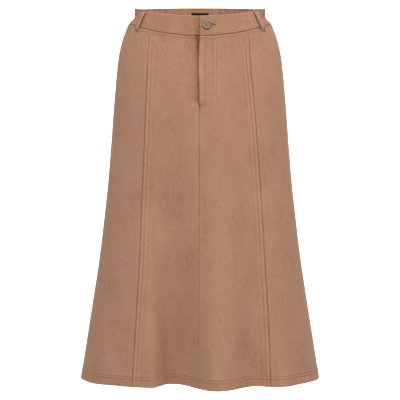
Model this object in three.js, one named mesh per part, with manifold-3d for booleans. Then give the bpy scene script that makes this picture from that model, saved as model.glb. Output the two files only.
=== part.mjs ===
// A-line midi skirt of eight gores, hollow and open at waist and hem, standing as it does on a wearer.
// The front waistband is flat and contoured, laps left over right and closes with a shank button over a
// fly; the back waistband is elasticated. Millimetres, +Z up. The front faces -Y and the wearer's left
// is +X. The origin is the centre of the waist, at the height where the waistband is held.
import * as THREE from "three";
import { mergeVertices } from "three/addons/utils/BufferGeometryUtils.js";
import Module from "manifold-3d";

// ---- Driving sizes -------------------------------------------------------------------------------
const CLOTH = 1.5; // wall of a gore
const BAND_PROUD = 0.6; // the waistband stands this far outside the gores
const BAND_CLOTH = 2.6; // waistband: two layers and their interfacing
const SEAM_GAP = 0.3; // between two pieces that are sewn edge to edge
const LAP_GAP = 0.5; // between two pieces that lap
const HEM_Z = -758;
const TOP_EDGE = { side: 20, frontDrop: 18, backRise: 4 }; // height of the waistband's top edge
const WAIST_SEAM = { side: -13.6, frontDrop: 25.4, backDrop: 2.4 }; // and of its lower seam
const FLY = { lap: 8, dipStart: 18, dipEnd: 4 }; // lapped opening below the band
const BAND_LAP = { under: 32, dipStart: 20, dipEnd: 3 }; // button extension of the waistband
const ELASTIC = { gathers: 34, wave: 1.1, smoothBack: 30 };
const LOOP = { angle: 34.4, width: 10.5, wall: 1.6, stand: 2, belowSeam: 10, foot: 0.1 };
const LOOP_LEAN = { top: 7, low: 0.5 }; // how far a loop leans to the front, and the band's joint with it
const BUTTON = { x: 13.8, z: -16, head: 8.8, rim: 1.0, thick: 2.4, shank: 2.2, tack: 4.6, tackThick: 1.2 };
const BUTTONHOLE = { eye: 2.9, slit: 1.2, length: 17 };
const LABEL = { width: 38, height: 18, below: 9, thick: 0.6 };
const ZIP = { from: -2, to: 26, thick: 1.3 };
const SHIELD = { from: -6, to: 36, thick: 1.5 };

// ---- Form of the skirt ---------------------------------------------------------------------------
// Level sections from waist to hem. half: half the width. front, back: depth before and behind the
// axis. round: exponent of the superellipse, 2 for an ellipse.
const SECTIONS = [
  { z: 30, half: 133.0, front: 91, back: 91, round: 2.15 },
  { z: 20, half: 137.0, front: 92, back: 93, round: 2.15 },
  { z: -14, half: 149.8, front: 96, back: 101, round: 2.18 },
  { z: -45, half: 161.2, front: 100, back: 110, round: 2.2 },
  { z: -87, half: 170.5, front: 104, back: 120, round: 2.2 },
  { z: -171, half: 179.0, front: 109, back: 131, round: 2.2 },
  { z: -255, half: 185.5, front: 111, back: 133, round: 2.2 },
  { z: -339, half: 192.5, front: 113, back: 132, round: 2.18 },
  { z: -423, half: 202.0, front: 116, back: 132, round: 2.15 },
  { z: -507, half: 212.5, front: 121, back: 134, round: 2.12 },
  { z: -591, half: 225.5, front: 126, back: 138, round: 2.1 },
  { z: -675, half: 239.0, front: 131, back: 142, round: 2.1 },
  { z: -758, half: 252.5, front: 136, back: 146, round: 2.1 },
];

// Where the gores meet, as a share of the half width. right, left: princess seams of the front.
// centre: centre front. back: princess seams of the back, on both sides.
const SEAMS = [
  { z: -14, right: -0.665, left: 0.645, centre: 0, back: 0.65 },
  { z: -87, right: -0.625, left: 0.599, centre: -0.019, back: 0.61 },
  { z: -171, right: -0.617, left: 0.617, centre: -0.012, back: 0.6 },
  { z: -360, right: -0.611, left: 0.641, centre: -0.009, back: 0.6 },
  { z: -494, right: -0.589, left: 0.633, centre: -0.013, back: 0.59 },
  { z: -630, right: -0.57, left: 0.609, centre: -0.015, back: 0.575 },
  { z: -758, right: -0.555, left: 0.575, centre: -0.018, back: 0.56 },
];

// Soft folds that hang from the hips and deepen to the hem. face: front or back. top, hem: sideways
// place where the fold starts and where it ends. out: how far it stands out at the hem, below 0 for a
// trough. right, left: reach to the wearer's right and left. steep: exponent of the right flank.
const FOLDS = [
  { face: "front", top: -62, hem: -62, out: -51, right: 26, left: 55, steep: 4, start: -215 },
  { face: "front", top: 32, hem: 33, out: 29, right: 42, left: 40, steep: 2, start: -215 },
  { face: "front", top: 108, hem: 114, out: -16, right: 30, left: 24, steep: 2, start: -250 },
  { face: "front", top: 138, hem: 170, out: 11, right: 20, left: 28, steep: 2, start: -130 },
  { face: "front", top: -158, hem: -216, out: 5, right: 16, left: 20, steep: 2, start: -380 },
  { face: "back", top: -128, hem: -136, out: -24, right: 34, left: 30, steep: 2, start: -300 },
  { face: "back", top: -60, hem: -66, out: 22, right: 38, left: 34, steep: 2, start: -250 },
  { face: "back", top: 10, hem: 6, out: -34, right: 40, left: 36, steep: 2.6, start: -270 },
  { face: "back", top: 74, hem: 82, out: 20, right: 34, left: 40, steep: 2, start: -310 },
  { face: "back", top: 140, hem: 150, out: -18, right: 32, left: 28, steep: 2, start: -360 },
];
const FOLD_GROWTH = 1.3; // how a fold deepens on its way down, 1 for evenly
const FOLD_SPREAD = 1.7; // a fold is this many times wider where it starts than at the hem

// Rows of a gore, as shares of the way from the waist seam to the hem.
const FLY_ROWS = { full: 0.179, closed: 0.189, end: 0.1985 };
const ROWS = [
  0, 0.012, 0.035, 0.065, 0.105, 0.15, FLY_ROWS.full, FLY_ROWS.closed, FLY_ROWS.end,
  0.26, 0.32, 0.385, 0.45, 0.515, 0.58, 0.645, 0.71, 0.775, 0.84, 0.9, 0.953, 1,
];
const BAND_ROWS = [0, 0.34, 0.67, 1];

// Rows of the elasticated band, as shares w of the way down it, and how far out it stands there.
const ELASTIC_ROWS = [
  { w: 0, out: -1.7 },
  { w: 0.28, out: -6 },
  { w: 0.53, out: -8.7 },
  { w: 0.76, out: -5 },
  { w: 1, out: -0.8 },
];

const FRONT = -Math.PI / 2; // ring angles: 0 is the wearer's left side, and the front is a quarter before
const BACK = Math.PI / 2;
const LEFT = 0;
const RIGHT = -Math.PI;

// ---- Small tools ---------------------------------------------------------------------------------
const clamp01 = (x) => Math.min(1, Math.max(0, x));
const smooth = (x) => clamp01(x) ** 2 * (3 - 2 * clamp01(x));
const mix = (a, b, s) => a + (b - a) * s;
const power = (x, p) => Math.sign(x) * Math.abs(x) ** p;
const evenly = (count) => Array.from({ length: count + 1 }, (_, i) => i / count);

// A column of a table at height z, on a smooth curve through its rows.
function read(table, column, z) {
  const last = table.length - 1;
  let i = 0;
  while (i < last - 1 && z < table[i + 1].z) i += 1;
  const at = (k) => table[Math.min(last, Math.max(0, k))];
  const slope = (k) => {
    const [above, below] = [at(k - 1), at(k + 1)];
    return (below[column] - above[column]) / (below.z - above.z);
  };
  const [top, low] = [at(i), at(i + 1)];
  const step = low.z - top.z;
  const s = clamp01((z - top.z) / step);
  return (
    top[column] * (1 + 2 * s) * (1 - s) ** 2 +
    slope(i) * step * s * (1 - s) ** 2 +
    low[column] * s ** 2 * (3 - 2 * s) +
    slope(i + 1) * step * s ** 2 * (s - 1)
  );
}

const topEdge = (t) =>
  Math.sin(t) < 0
    ? TOP_EDGE.side - TOP_EDGE.frontDrop * Math.abs(Math.sin(t)) ** 1.9
    : TOP_EDGE.side + TOP_EDGE.backRise * Math.sin(t) ** 2;
const waistSeam = (t) =>
  Math.sin(t) < 0
    ? WAIST_SEAM.side - WAIST_SEAM.frontDrop * Math.abs(Math.sin(t)) ** 2.5
    : WAIST_SEAM.side - WAIST_SEAM.backDrop * Math.sin(t) ** 2;

// How far the folds carry the cloth outwards at sideways place x.
function foldOut(x, z, face) {
  let out = 0;
  for (const fold of FOLDS.filter((f) => f.face === face)) {
    const down = clamp01((fold.start - z) / (fold.start - HEM_Z));
    if (down === 0) continue;
    const offset = x - mix(fold.top, fold.hem, down);
    const reach = (offset < 0 ? fold.right : fold.left) * mix(FOLD_SPREAD, 1, down);
    const steep = offset < 0 ? mix(2, fold.steep, down) : 2.3;
    out += fold.out * down ** FOLD_GROWTH * Math.exp(-(Math.abs(offset / reach) ** steep));
  }
  return out;
}

// The cloth's outer face at ring angle t and height z.
function face(t, z) {
  const round = read(SECTIONS, "round", z);
  const half = read(SECTIONS, "half", z);
  const depth = read(SECTIONS, Math.sin(t) < 0 ? "front" : "back", z);
  const x = half * power(Math.cos(t), 2 / round);
  const y = depth * power(Math.sin(t), 2 / round);
  const away = new THREE.Vector3(
    power(x / half, round - 1) / half,
    power(y / depth, round - 1) / depth,
    0,
  ).normalize();
  const sideFade = smooth(Math.abs(Math.sin(t)) / 0.35);
  const out = sideFade * foldOut(x, z, Math.sin(t) < 0 ? "front" : "back");
  return new THREE.Vector3(x, y, z).addScaledVector(away, out);
}

// The outward normal of a surface given as place(t, height).
function normal(place, t, z) {
  const [turn, rise] = [1e-3, 0.5];
  const along = place(t + turn, z).sub(place(t - turn, z));
  const up = place(t, z + rise).sub(place(t, z - rise));
  return along.cross(up).normalize();
}

// The ring angle of a seam or of a sideways place, on the front or the back.
const angleOfShare = (share, z, side) => {
  const turn = Math.acos(power(share, read(SECTIONS, "round", z) / 2));
  return side === "front" ? -turn : turn;
};
const angleOfX = (x, z, side = "front") => angleOfShare(x / read(SECTIONS, "half", z), z, side);
const seamAngle = (name, z) => {
  if (name === "left") return LEFT;
  if (name === "right") return RIGHT;
  if (name === "centreBack") return BACK;
  if (name === "backLeft") return angleOfShare(read(SEAMS, "back", z), z, "back");
  if (name === "backRight") return angleOfShare(-read(SEAMS, "back", z), z, "back");
  const column = { frontRight: "right", frontLeft: "left", centreFront: "centre" }[name];
  return angleOfShare(read(SEAMS, column, z), z, "front");
};

// Ring angle moved sideways by a distance in millimetres.
function nudge(t, z, distance) {
  const turn = 1e-3;
  return t + (distance * 2 * turn) / face(t + turn, z).distanceTo(face(t - turn, z));
}

// ---- Walls ---------------------------------------------------------------------------------------
// A closed wall of cloth over a grid of rows and columns. point(row, column, side) gives the place of
// the wall's outer face (side 1) or inner face (side 0).
function wall(rows, columns, point) {
  const [m, n] = [rows.length, columns.length];
  const positions = [];
  for (const side of [1, 0])
    for (const row of rows)
      for (const column of columns) positions.push(...point(row, column, side).toArray());
  const id = (side, i, j) => (side ? 0 : m * n) + i * n + j;
  const index = [];
  const quad = (a, b, c, d) => index.push(a, b, c, a, c, d);
  for (let i = 0; i < m - 1; i += 1)
    for (let j = 0; j < n - 1; j += 1) {
      quad(id(1, i, j), id(1, i + 1, j), id(1, i + 1, j + 1), id(1, i, j + 1));
      quad(id(0, i, j), id(0, i, j + 1), id(0, i + 1, j + 1), id(0, i + 1, j));
    }
  for (let j = 0; j < n - 1; j += 1) {
    quad(id(1, 0, j), id(1, 0, j + 1), id(0, 0, j + 1), id(0, 0, j));
    quad(id(1, m - 1, j + 1), id(1, m - 1, j), id(0, m - 1, j), id(0, m - 1, j + 1));
  }
  for (let i = 0; i < m - 1; i += 1) {
    quad(id(1, i + 1, 0), id(1, i, 0), id(0, i, 0), id(0, i + 1, 0));
    quad(id(1, i, n - 1), id(1, i + 1, n - 1), id(0, i + 1, n - 1), id(0, i, n - 1));
  }
  const geometry = new THREE.BufferGeometry();
  geometry.setAttribute("position", new THREE.Float32BufferAttribute(positions, 3));
  geometry.setIndex(index);
  return geometry;
}

// Height of a share of the way down a gore, clear of the waist seam.
const goreHeight = (t, v) => mix(waistSeam(t) - SEAM_GAP / 2, HEM_Z, v);
// Height of a share of the way down the waistband.
const bandHeight = (t, w) => mix(topEdge(t), waistSeam(t) + SEAM_GAP / 2, w);

// A point off the cloth's outer face, by an offset along its normal.
const offFace = (t, z, offset) => face(t, z).addScaledVector(normal(face, t, z), offset);

// A gore between two seams, by their names, going anticlockwise seen from above.
function gore(from, to, columns) {
  return wall(ROWS, evenly(columns), (v, s, side) => {
    const guess = mix(waistSeam(mix(seamAngle(from, -30), seamAngle(to, -30), s)), HEM_Z, v);
    const start = nudge(seamAngle(from, guess), guess, SEAM_GAP / 2);
    const end = nudge(wrapAfter(start, seamAngle(to, guess)), guess, -SEAM_GAP / 2);
    const t = mix(start, end, s);
    return offFace(t, goreHeight(t, v), side ? 0 : -CLOTH);
  });
}
const wrapAfter = (start, t) => (t < start ? t + 2 * Math.PI : t);

// The wearer's right centre front: beside the fly it dips and runs on under the lapped left front.
function lappedGore(columns) {
  const lapDepth = CLOTH + LAP_GAP;
  const dipColumns = [0.25, 0.5, 0.75, 1].map((s) => ({ lap: true, s }));
  const flatColumns = evenly(columns).map((s) => ({ lap: false, s }));
  return wall(ROWS, [...flatColumns, ...dipColumns], (v, column, side) => {
    const z = mix(waistSeam(FRONT), HEM_Z, v);
    const seamZ = mix(waistSeam(seamAngle("frontRight", -30)), HEM_Z, v);
    const start = nudge(seamAngle("frontRight", seamZ), seamZ, SEAM_GAP / 2);
    const centre = face(seamAngle("centreFront", z), z).x;
    const edge = centre + (v <= FLY_ROWS.full ? FLY.lap : -SEAM_GAP / 2);
    const dipFrom = angleOfX(centre - FLY.dipStart, z);
    const t = column.lap
      ? mix(dipFrom, angleOfX(edge, z), column.s)
      : mix(start, dipFrom, column.s);
    const across = smooth((face(t, z).x - centre + FLY.dipStart) / (FLY.dipStart - FLY.dipEnd));
    const dip = lapDepth * across * (v <= FLY_ROWS.closed ? 1 : 0);
    return offFace(t, goreHeight(t, v), (side ? 0 : -CLOTH) - dip);
  });
}

// A strip behind the fly, between two sideways places, with its outer face at an offset.
function flyStrip({ from, to, thick }, offset, columns) {
  const rows = ROWS.filter((v) => v <= FLY_ROWS.end);
  return wall(rows, evenly(columns), (v, s, side) => {
    const z = mix(waistSeam(FRONT), HEM_Z, v);
    const t = angleOfX(mix(from, to, s), z);
    return offFace(t, goreHeight(t, v), side ? offset : offset - thick);
  });
}

// ---- Waistband -----------------------------------------------------------------------------------
const loopAngle = THREE.MathUtils.degToRad(LOOP.angle);
const LOOP_AT = { left: -loopAngle, right: RIGHT + loopAngle };

// Ring angle of a belt loop's middle line at height z, moved aside by a distance.
function loopLine(name, z, aside = 0) {
  const angle = LOOP_AT[name];
  const [top, low] = [topEdge(angle), waistSeam(angle) - LOOP.belowSeam];
  const lean = mix(LOOP_LEAN.top, LOOP_LEAN.low, (top - z) / (top - low));
  return nudge(angle, z, aside + (name === "left" ? -lean : lean));
}

// The same at a share of the way down the band.
const jointLine = (name, w, aside) => loopLine(name, bandHeight(LOOP_AT[name], w), aside);

// Front waistband, buttonhole end: from the centre front to the wearer's left loop.
function bandFrontLeft(columns) {
  return wall(BAND_ROWS, evenly(columns), (w, s, side) => {
    const z = bandHeight(FRONT, w);
    const t = mix(angleOfX(-1, z), jointLine("left", w, -SEAM_GAP / 2), s);
    return offFace(t, bandHeight(t, w), side ? BAND_PROUD : BAND_PROUD - BAND_CLOTH);
  });
}

// Front waistband, button end: from the wearer's right loop, dipping under the other to its own end.
function bandFrontRight(columns) {
  const lapDepth = BAND_CLOTH + LAP_GAP;
  const flat = evenly(columns).map((s) => ({ lap: false, s }));
  const lapped = [0.12, 0.24, 0.36, 0.52, 0.76, 1].map((s) => ({ lap: true, s }));
  return wall(BAND_ROWS, [...flat, ...lapped], (w, column, side) => {
    const z = bandHeight(FRONT, w);
    const dipFrom = angleOfX(-BAND_LAP.dipStart, z);
    const t = column.lap
      ? mix(dipFrom, angleOfX(BAND_LAP.under, z), column.s)
      : mix(jointLine("right", w, SEAM_GAP / 2), dipFrom, column.s);
    const across = (face(t, z).x + BAND_LAP.dipStart) / (BAND_LAP.dipStart - BAND_LAP.dipEnd);
    const dip = lapDepth * smooth(across);
    return offFace(t, bandHeight(t, w), (side ? BAND_PROUD : BAND_PROUD - BAND_CLOTH) - dip);
  });
}

// How far the elastic moves a row of the band at angle t.
function elasticOut(t, row) {
  const z = bandHeight(t, row.w);
  const span = LOOP_AT.right + 2 * Math.PI - LOOP_AT.left;
  const sweep = (t - LOOP_AT.left) / span;
  const fade = smooth((Math.min(sweep, 1 - sweep) * span) / 0.35);
  const flatMiddle = smooth(Math.abs(face(t, z).x) / ELASTIC.smoothBack - 0.6);
  const calm = Math.sin(t) > 0 ? flatMiddle : 1;
  return fade * (row.out + ELASTIC.wave * Math.cos(2 * Math.PI * ELASTIC.gathers * sweep) * calm);
}

// The elasticated band's face at angle t, a share w of the way down, straight between its rows.
function elasticFace(t, w, offset) {
  let i = 0;
  while (i < ELASTIC_ROWS.length - 2 && w > ELASTIC_ROWS[i + 1].w) i += 1;
  const [above, below] = [ELASTIC_ROWS[i], ELASTIC_ROWS[i + 1]];
  const at = (row) => offFace(t, bandHeight(t, row.w), BAND_PROUD + elasticOut(t, row) + offset);
  return at(above).lerp(at(below), (w - above.w) / (below.w - above.w));
}

// Elasticated back waistband, from the wearer's left loop round the back to the right one.
function bandBack() {
  const perGather = 2;
  const rows = ELASTIC_ROWS.map((row) => row.w);
  return wall(rows, evenly(ELASTIC.gathers * perGather), (w, s, side) => {
    const start = jointLine("left", w, SEAM_GAP / 2);
    const end = jointLine("right", w, -SEAM_GAP / 2) + 2 * Math.PI;
    return elasticFace(mix(start, end, s), w, side ? 0 : -BAND_CLOTH);
  });
}

// Label on the inside of the back waistband, laid on the band's own rows.
function label(columns) {
  const deep = topEdge(BACK) - waistSeam(BACK);
  const [top, bottom] = [LABEL.below / deep, (LABEL.below + LABEL.height) / deep];
  const between = ELASTIC_ROWS.map((row) => row.w).filter((w) => w > top && w < bottom);
  const rows = [top, ...between, bottom];
  return wall(rows, evenly(columns), (w, s, side) => {
    const reach = LABEL.width / 2;
    const t = angleOfX(mix(reach, -reach, s), bandHeight(BACK, w), "back");
    const inside = -BAND_CLOTH - SEAM_GAP;
    return elasticFace(t, w, side ? inside : inside - LABEL.thick);
  });
}

// ---- Belt loops ----------------------------------------------------------------------------------
// Shares of the loop's length, with how far its inner face stands off its feet there, as a share.
const LOOP_PROFILE = [
  { s: 0, off: 0 },
  { s: 0.07, off: 0 },
  { s: 0.16, off: 0.62 },
  { s: 0.27, off: 1 },
  { s: 0.5, off: 1 },
  { s: 0.7, off: 1 },
  { s: 0.81, off: 0.62 },
  { s: 0.9, off: 0 },
  { s: 1, off: 0 },
];
function beltLoop(name) {
  const angle = LOOP_AT[name];
  return wall(LOOP_PROFILE, [-0.5, 0, 0.5], (row, across, side) => {
    const z = mix(topEdge(angle) - LOOP.foot, waistSeam(angle) - LOOP.belowSeam, row.s);
    const t = loopLine(name, z, across * LOOP.width);
    const seat = BAND_PROUD + SEAM_GAP + LOOP.stand * row.off;
    return offFace(t, z, side ? seat + LOOP.wall : seat);
  });
}

// ---- Button --------------------------------------------------------------------------------------
// Frame of the button: its axis is the normal of the band, with the buttonhole running level.
function buttonFrame() {
  const t = angleOfX(BUTTON.x, BUTTON.z);
  const out = normal(face, t, BUTTON.z);
  const level = new THREE.Vector3(0, 0, 1).cross(out).normalize();
  const frame = new THREE.Matrix4().makeBasis(level, out, new THREE.Vector3().crossVectors(level, out));
  return frame.setPosition(face(t, BUTTON.z));
}
const underlapBack = BAND_PROUD - 2 * BAND_CLOTH - LAP_GAP; // inner face of the button extension

// A solid turned about the button's axis, from [radius, height] pairs that close on the axis.
const turned = (profile, sides) =>
  new THREE.LatheGeometry(profile.map(([r, h]) => new THREE.Vector2(r, h)), sides);

function buttonSolid() {
  const seat = BAND_PROUD + SEAM_GAP;
  const top = seat + BUTTON.thick;
  const well = top - 0.5;
  return turned(
    [
      [0, underlapBack], [BUTTON.shank, underlapBack], [BUTTON.shank, seat],
      [BUTTON.head - 0.8, seat], [BUTTON.head, seat + 0.8], [BUTTON.head, top - 0.6],
      [BUTTON.head - 0.5, top], [BUTTON.head - BUTTON.rim - 0.5, top], [BUTTON.head - 2.4, well],
      [3.2, well], [1.6, well + 0.35], [0, well + 0.45],
    ],
    28,
  );
}

function tackSolid() {
  const near = underlapBack - SEAM_GAP;
  const far = near - BUTTON.tackThick;
  return turned(
    [[0, far], [BUTTON.tack - 0.5, far], [BUTTON.tack, far + 0.5], [BUTTON.tack, near], [0, near]],
    20,
  );
}

// Keyhole cutter of the buttonhole: a round eye at the shank, and a slit away from the band's end.
function buttonholeCutter() {
  const outline = new THREE.Shape();
  const start = Math.asin(BUTTONHOLE.slit / 2 / BUTTONHOLE.eye);
  outline.absarc(0, 0, BUTTONHOLE.eye, start, 2 * Math.PI - start, false);
  outline.lineTo(BUTTONHOLE.length, -BUTTONHOLE.slit / 2);
  outline.lineTo(BUTTONHOLE.length, BUTTONHOLE.slit / 2);
  outline.closePath();
  const depth = 4 * BAND_CLOTH;
  const cutter = new THREE.ExtrudeGeometry(outline, { depth, bevelEnabled: false, curveSegments: 10 });
  return cutter.rotateX(-Math.PI / 2).translate(0, -depth / 2, 0);
}
const shankCutter = () => new THREE.CylinderGeometry(BUTTONHOLE.eye, BUTTONHOLE.eye, 30, 20);

// ---- Booleans ------------------------------------------------------------------------------------
const wasm = await Module();
wasm.setup();

function solid(geometry) {
  const bare = geometry.clone();
  bare.deleteAttribute("normal");
  bare.deleteAttribute("uv");
  const merged = mergeVertices(bare, 1e-4);
  return new wasm.Manifold(
    new wasm.Mesh({
      numProp: 3,
      vertProperties: merged.attributes.position.array,
      triVerts: new Uint32Array(merged.index.array),
    }),
  );
}

function cut(geometry, cutter) {
  const mesh = solid(geometry).subtract(solid(cutter)).getMesh();
  const made = new THREE.BufferGeometry();
  made.setAttribute("position", new THREE.Float32BufferAttribute(mesh.vertProperties, 3));
  return made.setIndex(new THREE.BufferAttribute(mesh.triVerts, 1));
}

// ---- Materials -----------------------------------------------------------------------------------
const MATERIALS = {
  suede: new THREE.MeshStandardMaterial({ color: 0xad846b, roughness: 0.92, metalness: 0 }),
  metal: new THREE.MeshStandardMaterial({ color: 0x9c8a72, roughness: 0.42, metalness: 0.9 }),
  tape: new THREE.MeshStandardMaterial({ color: 0x8f6c57, roughness: 0.8, metalness: 0 }),
  label: new THREE.MeshStandardMaterial({ color: 0x14110f, roughness: 0.7, metalness: 0 }),
};

// ---- Assembly ------------------------------------------------------------------------------------
const skirt = new THREE.Group();
function add(name, geometry, material) {
  const mesh = new THREE.Mesh(geometry, material);
  mesh.name = name;
  skirt.add(mesh);
}

const GORES = [
  { name: "front_side_right", from: "right", to: "frontRight", columns: 7 },
  { name: "front_centre_left", from: "centreFront", to: "frontLeft", columns: 9 },
  { name: "front_side_left", from: "frontLeft", to: "left", columns: 7 },
  { name: "back_side_left", from: "left", to: "backLeft", columns: 7 },
  { name: "back_centre_left", from: "backLeft", to: "centreBack", columns: 8 },
  { name: "back_centre_right", from: "centreBack", to: "backRight", columns: 8 },
  { name: "back_side_right", from: "backRight", to: "right", columns: 7 },
];
for (const { name, from, to, columns } of GORES) add(name, gore(from, to, columns), MATERIALS.suede);
add("front_centre_right", lappedGore(7), MATERIALS.suede);

const frame = buttonFrame();
const onBand = (geometry) => geometry.applyMatrix4(frame);
add("waistband_front_left", cut(bandFrontLeft(9), onBand(buttonholeCutter())), MATERIALS.suede);
add("waistband_front_right", cut(bandFrontRight(8), onBand(shankCutter())), MATERIALS.suede);
add("waistband_back", bandBack(), MATERIALS.suede);
add("belt_loop_left", beltLoop("left"), MATERIALS.suede);
add("belt_loop_right", beltLoop("right"), MATERIALS.suede);

const lapped = -CLOTH - LAP_GAP; // outer face of the right front where it runs under the fly
const zipFace = lapped - CLOTH - SEAM_GAP;
add("zip", flyStrip(ZIP, zipFace, 3), MATERIALS.tape);
add("fly_shield", flyStrip(SHIELD, zipFace - ZIP.thick - SEAM_GAP, 4), MATERIALS.suede);
add("button", onBand(buttonSolid()), MATERIALS.metal);
add("button_tack", onBand(tackSolid()), MATERIALS.metal);
add("back_label", label(4), MATERIALS.label);

export default skirt;
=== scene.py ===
"""A-line midi skirt of eight gores in tan faux suede, hollow, in the shape it takes when it is worn.

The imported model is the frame. Each of its cloth solids is replaced by a fine closed shell on the same
form: a stack of level rings that opens from waist to hem, with soft folds hanging from the hips. Seams,
turned edges, gathers, stitches, buttonhole and nap are worked on those shells. The button and its tack
are turned solids in the same places.

Lengths are in millimetres on the form, and become metres when a mesh is made. The front faces -Y and the
wearer's left is +X.
"""

import logging
import math
from collections.abc import Sequence
from dataclasses import dataclass, field
from enum import Enum
from typing import NamedTuple

import bmesh
import bpy
import numpy as np
from mathutils import Matrix, Vector
from mathutils.bvhtree import BVHTree


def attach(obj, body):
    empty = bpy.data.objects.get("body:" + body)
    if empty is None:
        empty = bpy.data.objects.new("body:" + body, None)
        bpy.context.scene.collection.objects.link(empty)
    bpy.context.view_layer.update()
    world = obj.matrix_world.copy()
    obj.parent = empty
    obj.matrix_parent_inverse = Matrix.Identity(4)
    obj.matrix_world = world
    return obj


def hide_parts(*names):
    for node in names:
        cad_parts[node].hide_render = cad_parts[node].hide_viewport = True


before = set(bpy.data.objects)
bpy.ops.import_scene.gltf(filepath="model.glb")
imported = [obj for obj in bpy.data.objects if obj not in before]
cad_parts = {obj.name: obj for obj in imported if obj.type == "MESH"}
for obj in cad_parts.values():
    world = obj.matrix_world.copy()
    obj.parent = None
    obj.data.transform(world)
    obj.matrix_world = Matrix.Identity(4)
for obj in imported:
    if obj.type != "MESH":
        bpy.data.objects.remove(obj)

LOG = logging.getLogger("skirt")
METRE = 0.001
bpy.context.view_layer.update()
# The inner face's nap is darker by this much: partly the cloth's darker wrong side, partly painted shade
# inside the skirt and the band.
WRONG_SIDE_AND_INNER_SHADE = -0.35  # how much darker the nap mark is on the wrong side of the cloth
THINNEST_EDGE = 0.12  # share of the thickness that is left at the very edge of rounded cloth
TURN_STEP = 1e-3  # a small turn of the ring angle, for slopes
LEVEL_STEP = 0.5  # a small change of height, for slopes
NEAR_WAIST = -30.0  # height at which a seam is first looked for
FRONT = -math.pi / 2  # ring angle of the middle of the front
BACK = math.pi / 2  # ring angle of the middle of the back
BAND_THICKNESS = 2.6  # of the waistband
BAND_PROUD = 0.6  # how far the waistband stands out from the form
BAND_GAP = 0.3  # between the waistband and what it meets
LAP_GAP = 0.5  # between the waistband's two ends where they lap
Array = np.ndarray
Colour = tuple[float, float, float, float]


# ---- Nodes ------------------------------------------------------------------------------------------


class Term:
    """A number in a node tree, on which Python's operators add Math nodes."""

    def __init__(self, book: "NodeBook", socket: bpy.types.NodeSocket) -> None:
        """Wraps a socket.

        Args:
            book: the tree's book.
            socket: the output socket that gives the number.
        """
        self.book = book
        self.socket = socket

    def __add__(self, other: "Term | float") -> "Term":
        """Sum."""
        return self.book.maths("ADD", self, other)

    def __radd__(self, other: float) -> "Term":
        """Sum, with the number first."""
        return self.book.maths("ADD", other, self)

    def __sub__(self, other: "Term | float") -> "Term":
        """Difference."""
        return self.book.maths("SUBTRACT", self, other)

    def __rsub__(self, other: float) -> "Term":
        """Difference from a number."""
        return self.book.maths("SUBTRACT", other, self)

    def __mul__(self, other: "Term | float") -> "Term":
        """Product."""
        return self.book.maths("MULTIPLY", self, other)

    def __rmul__(self, other: float) -> "Term":
        """Product, with the number first."""
        return self.book.maths("MULTIPLY", other, self)


class NodeBook:
    """A node tree, with short ways of adding the nodes that the skirt needs."""

    def __init__(self, tree: bpy.types.NodeTree) -> None:
        """Starts on a tree.

        Args:
            tree: the empty tree to fill.
        """
        self.tree = tree

    def node(self, kind: str, settings: dict | None = None, **sockets: object) -> bpy.types.Node:
        """Adds a node.

        Args:
            kind: the node's type.
            settings: properties, set first.
            sockets: values or links by the socket's name with spaces as underscores, or _ and its number.

        Returns:
            The node.
        """
        made = self.tree.nodes.new(kind)
        for key, value in (settings or {}).items():
            setattr(made, key, value)
        for key, value in sockets.items():
            number = key[1:].isdigit() and key.startswith("_")
            socket = made.inputs[int(key[1:])] if number else made.inputs[key.replace("_", " ")]
            if isinstance(value, Term):
                value = value.socket
            if isinstance(value, bpy.types.NodeSocket):
                self.tree.links.new(value, socket)
            else:
                socket.default_value = value
        return made

    def maths(self, operation: str, *values: "Term | float") -> Term:
        """Adds a Math node.

        Args:
            operation: the node's operation.
            values: its numbers in order.

        Returns:
            The result.
        """
        sockets = {f"_{i}": value for i, value in enumerate(values)}
        return Term(self, self.node("ShaderNodeMath", {"operation": operation}, **sockets).outputs[0])

    def stretch(self, vector: bpy.types.NodeSocket, by: Sequence[float]) -> bpy.types.NodeSocket:
        """Multiplies a vector by three numbers.

        Args:
            vector: the vector's socket.
            by: the three factors.

        Returns:
            The stretched vector's socket.
        """
        made = self.node("ShaderNodeVectorMath", {"operation": "MULTIPLY"}, _0=vector, _1=tuple(by))
        return made.outputs[0]

    def noise(self, vector: bpy.types.NodeSocket, scale: float, detail: float = 2.0,
              rough: float = 0.5) -> Term:
        """Adds soft noise from 0 to 1.

        Args:
            vector: where it is read.
            scale: lumps for each unit of length.
            detail: octaves.
            rough: weight of the finer octaves.

        Returns:
            The noise.
        """
        made = self.node("ShaderNodeTexNoise", None, Vector=vector, Scale=scale, Detail=detail,
                         Roughness=rough)
        return Term(self, made.outputs[0])

    def band(self, value: Term, low: float, high: float) -> Term:
        """A soft step from 0 at low to 1 at high.

        Args:
            value: the number that is stepped.
            low: where the step starts.
            high: where it ends.

        Returns:
            The step.
        """
        made = self.node("ShaderNodeMapRange", {"interpolation_type": "SMOOTHSTEP"}, Value=value,
                         From_Min=low, From_Max=high)
        return Term(self, made.outputs[0])

    def blend(self, factor: Term, first: object, second: object) -> bpy.types.NodeSocket:
        """Mixes two colours.

        Args:
            factor: 0 for the first and 1 for the second.
            first: a colour or its socket.
            second: a colour or its socket.

        Returns:
            The mixed colour's socket.
        """
        made = self.node("ShaderNodeMix", {"data_type": "RGBA"}, _0=factor, _6=first, _7=second)
        return made.outputs[2]


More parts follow.
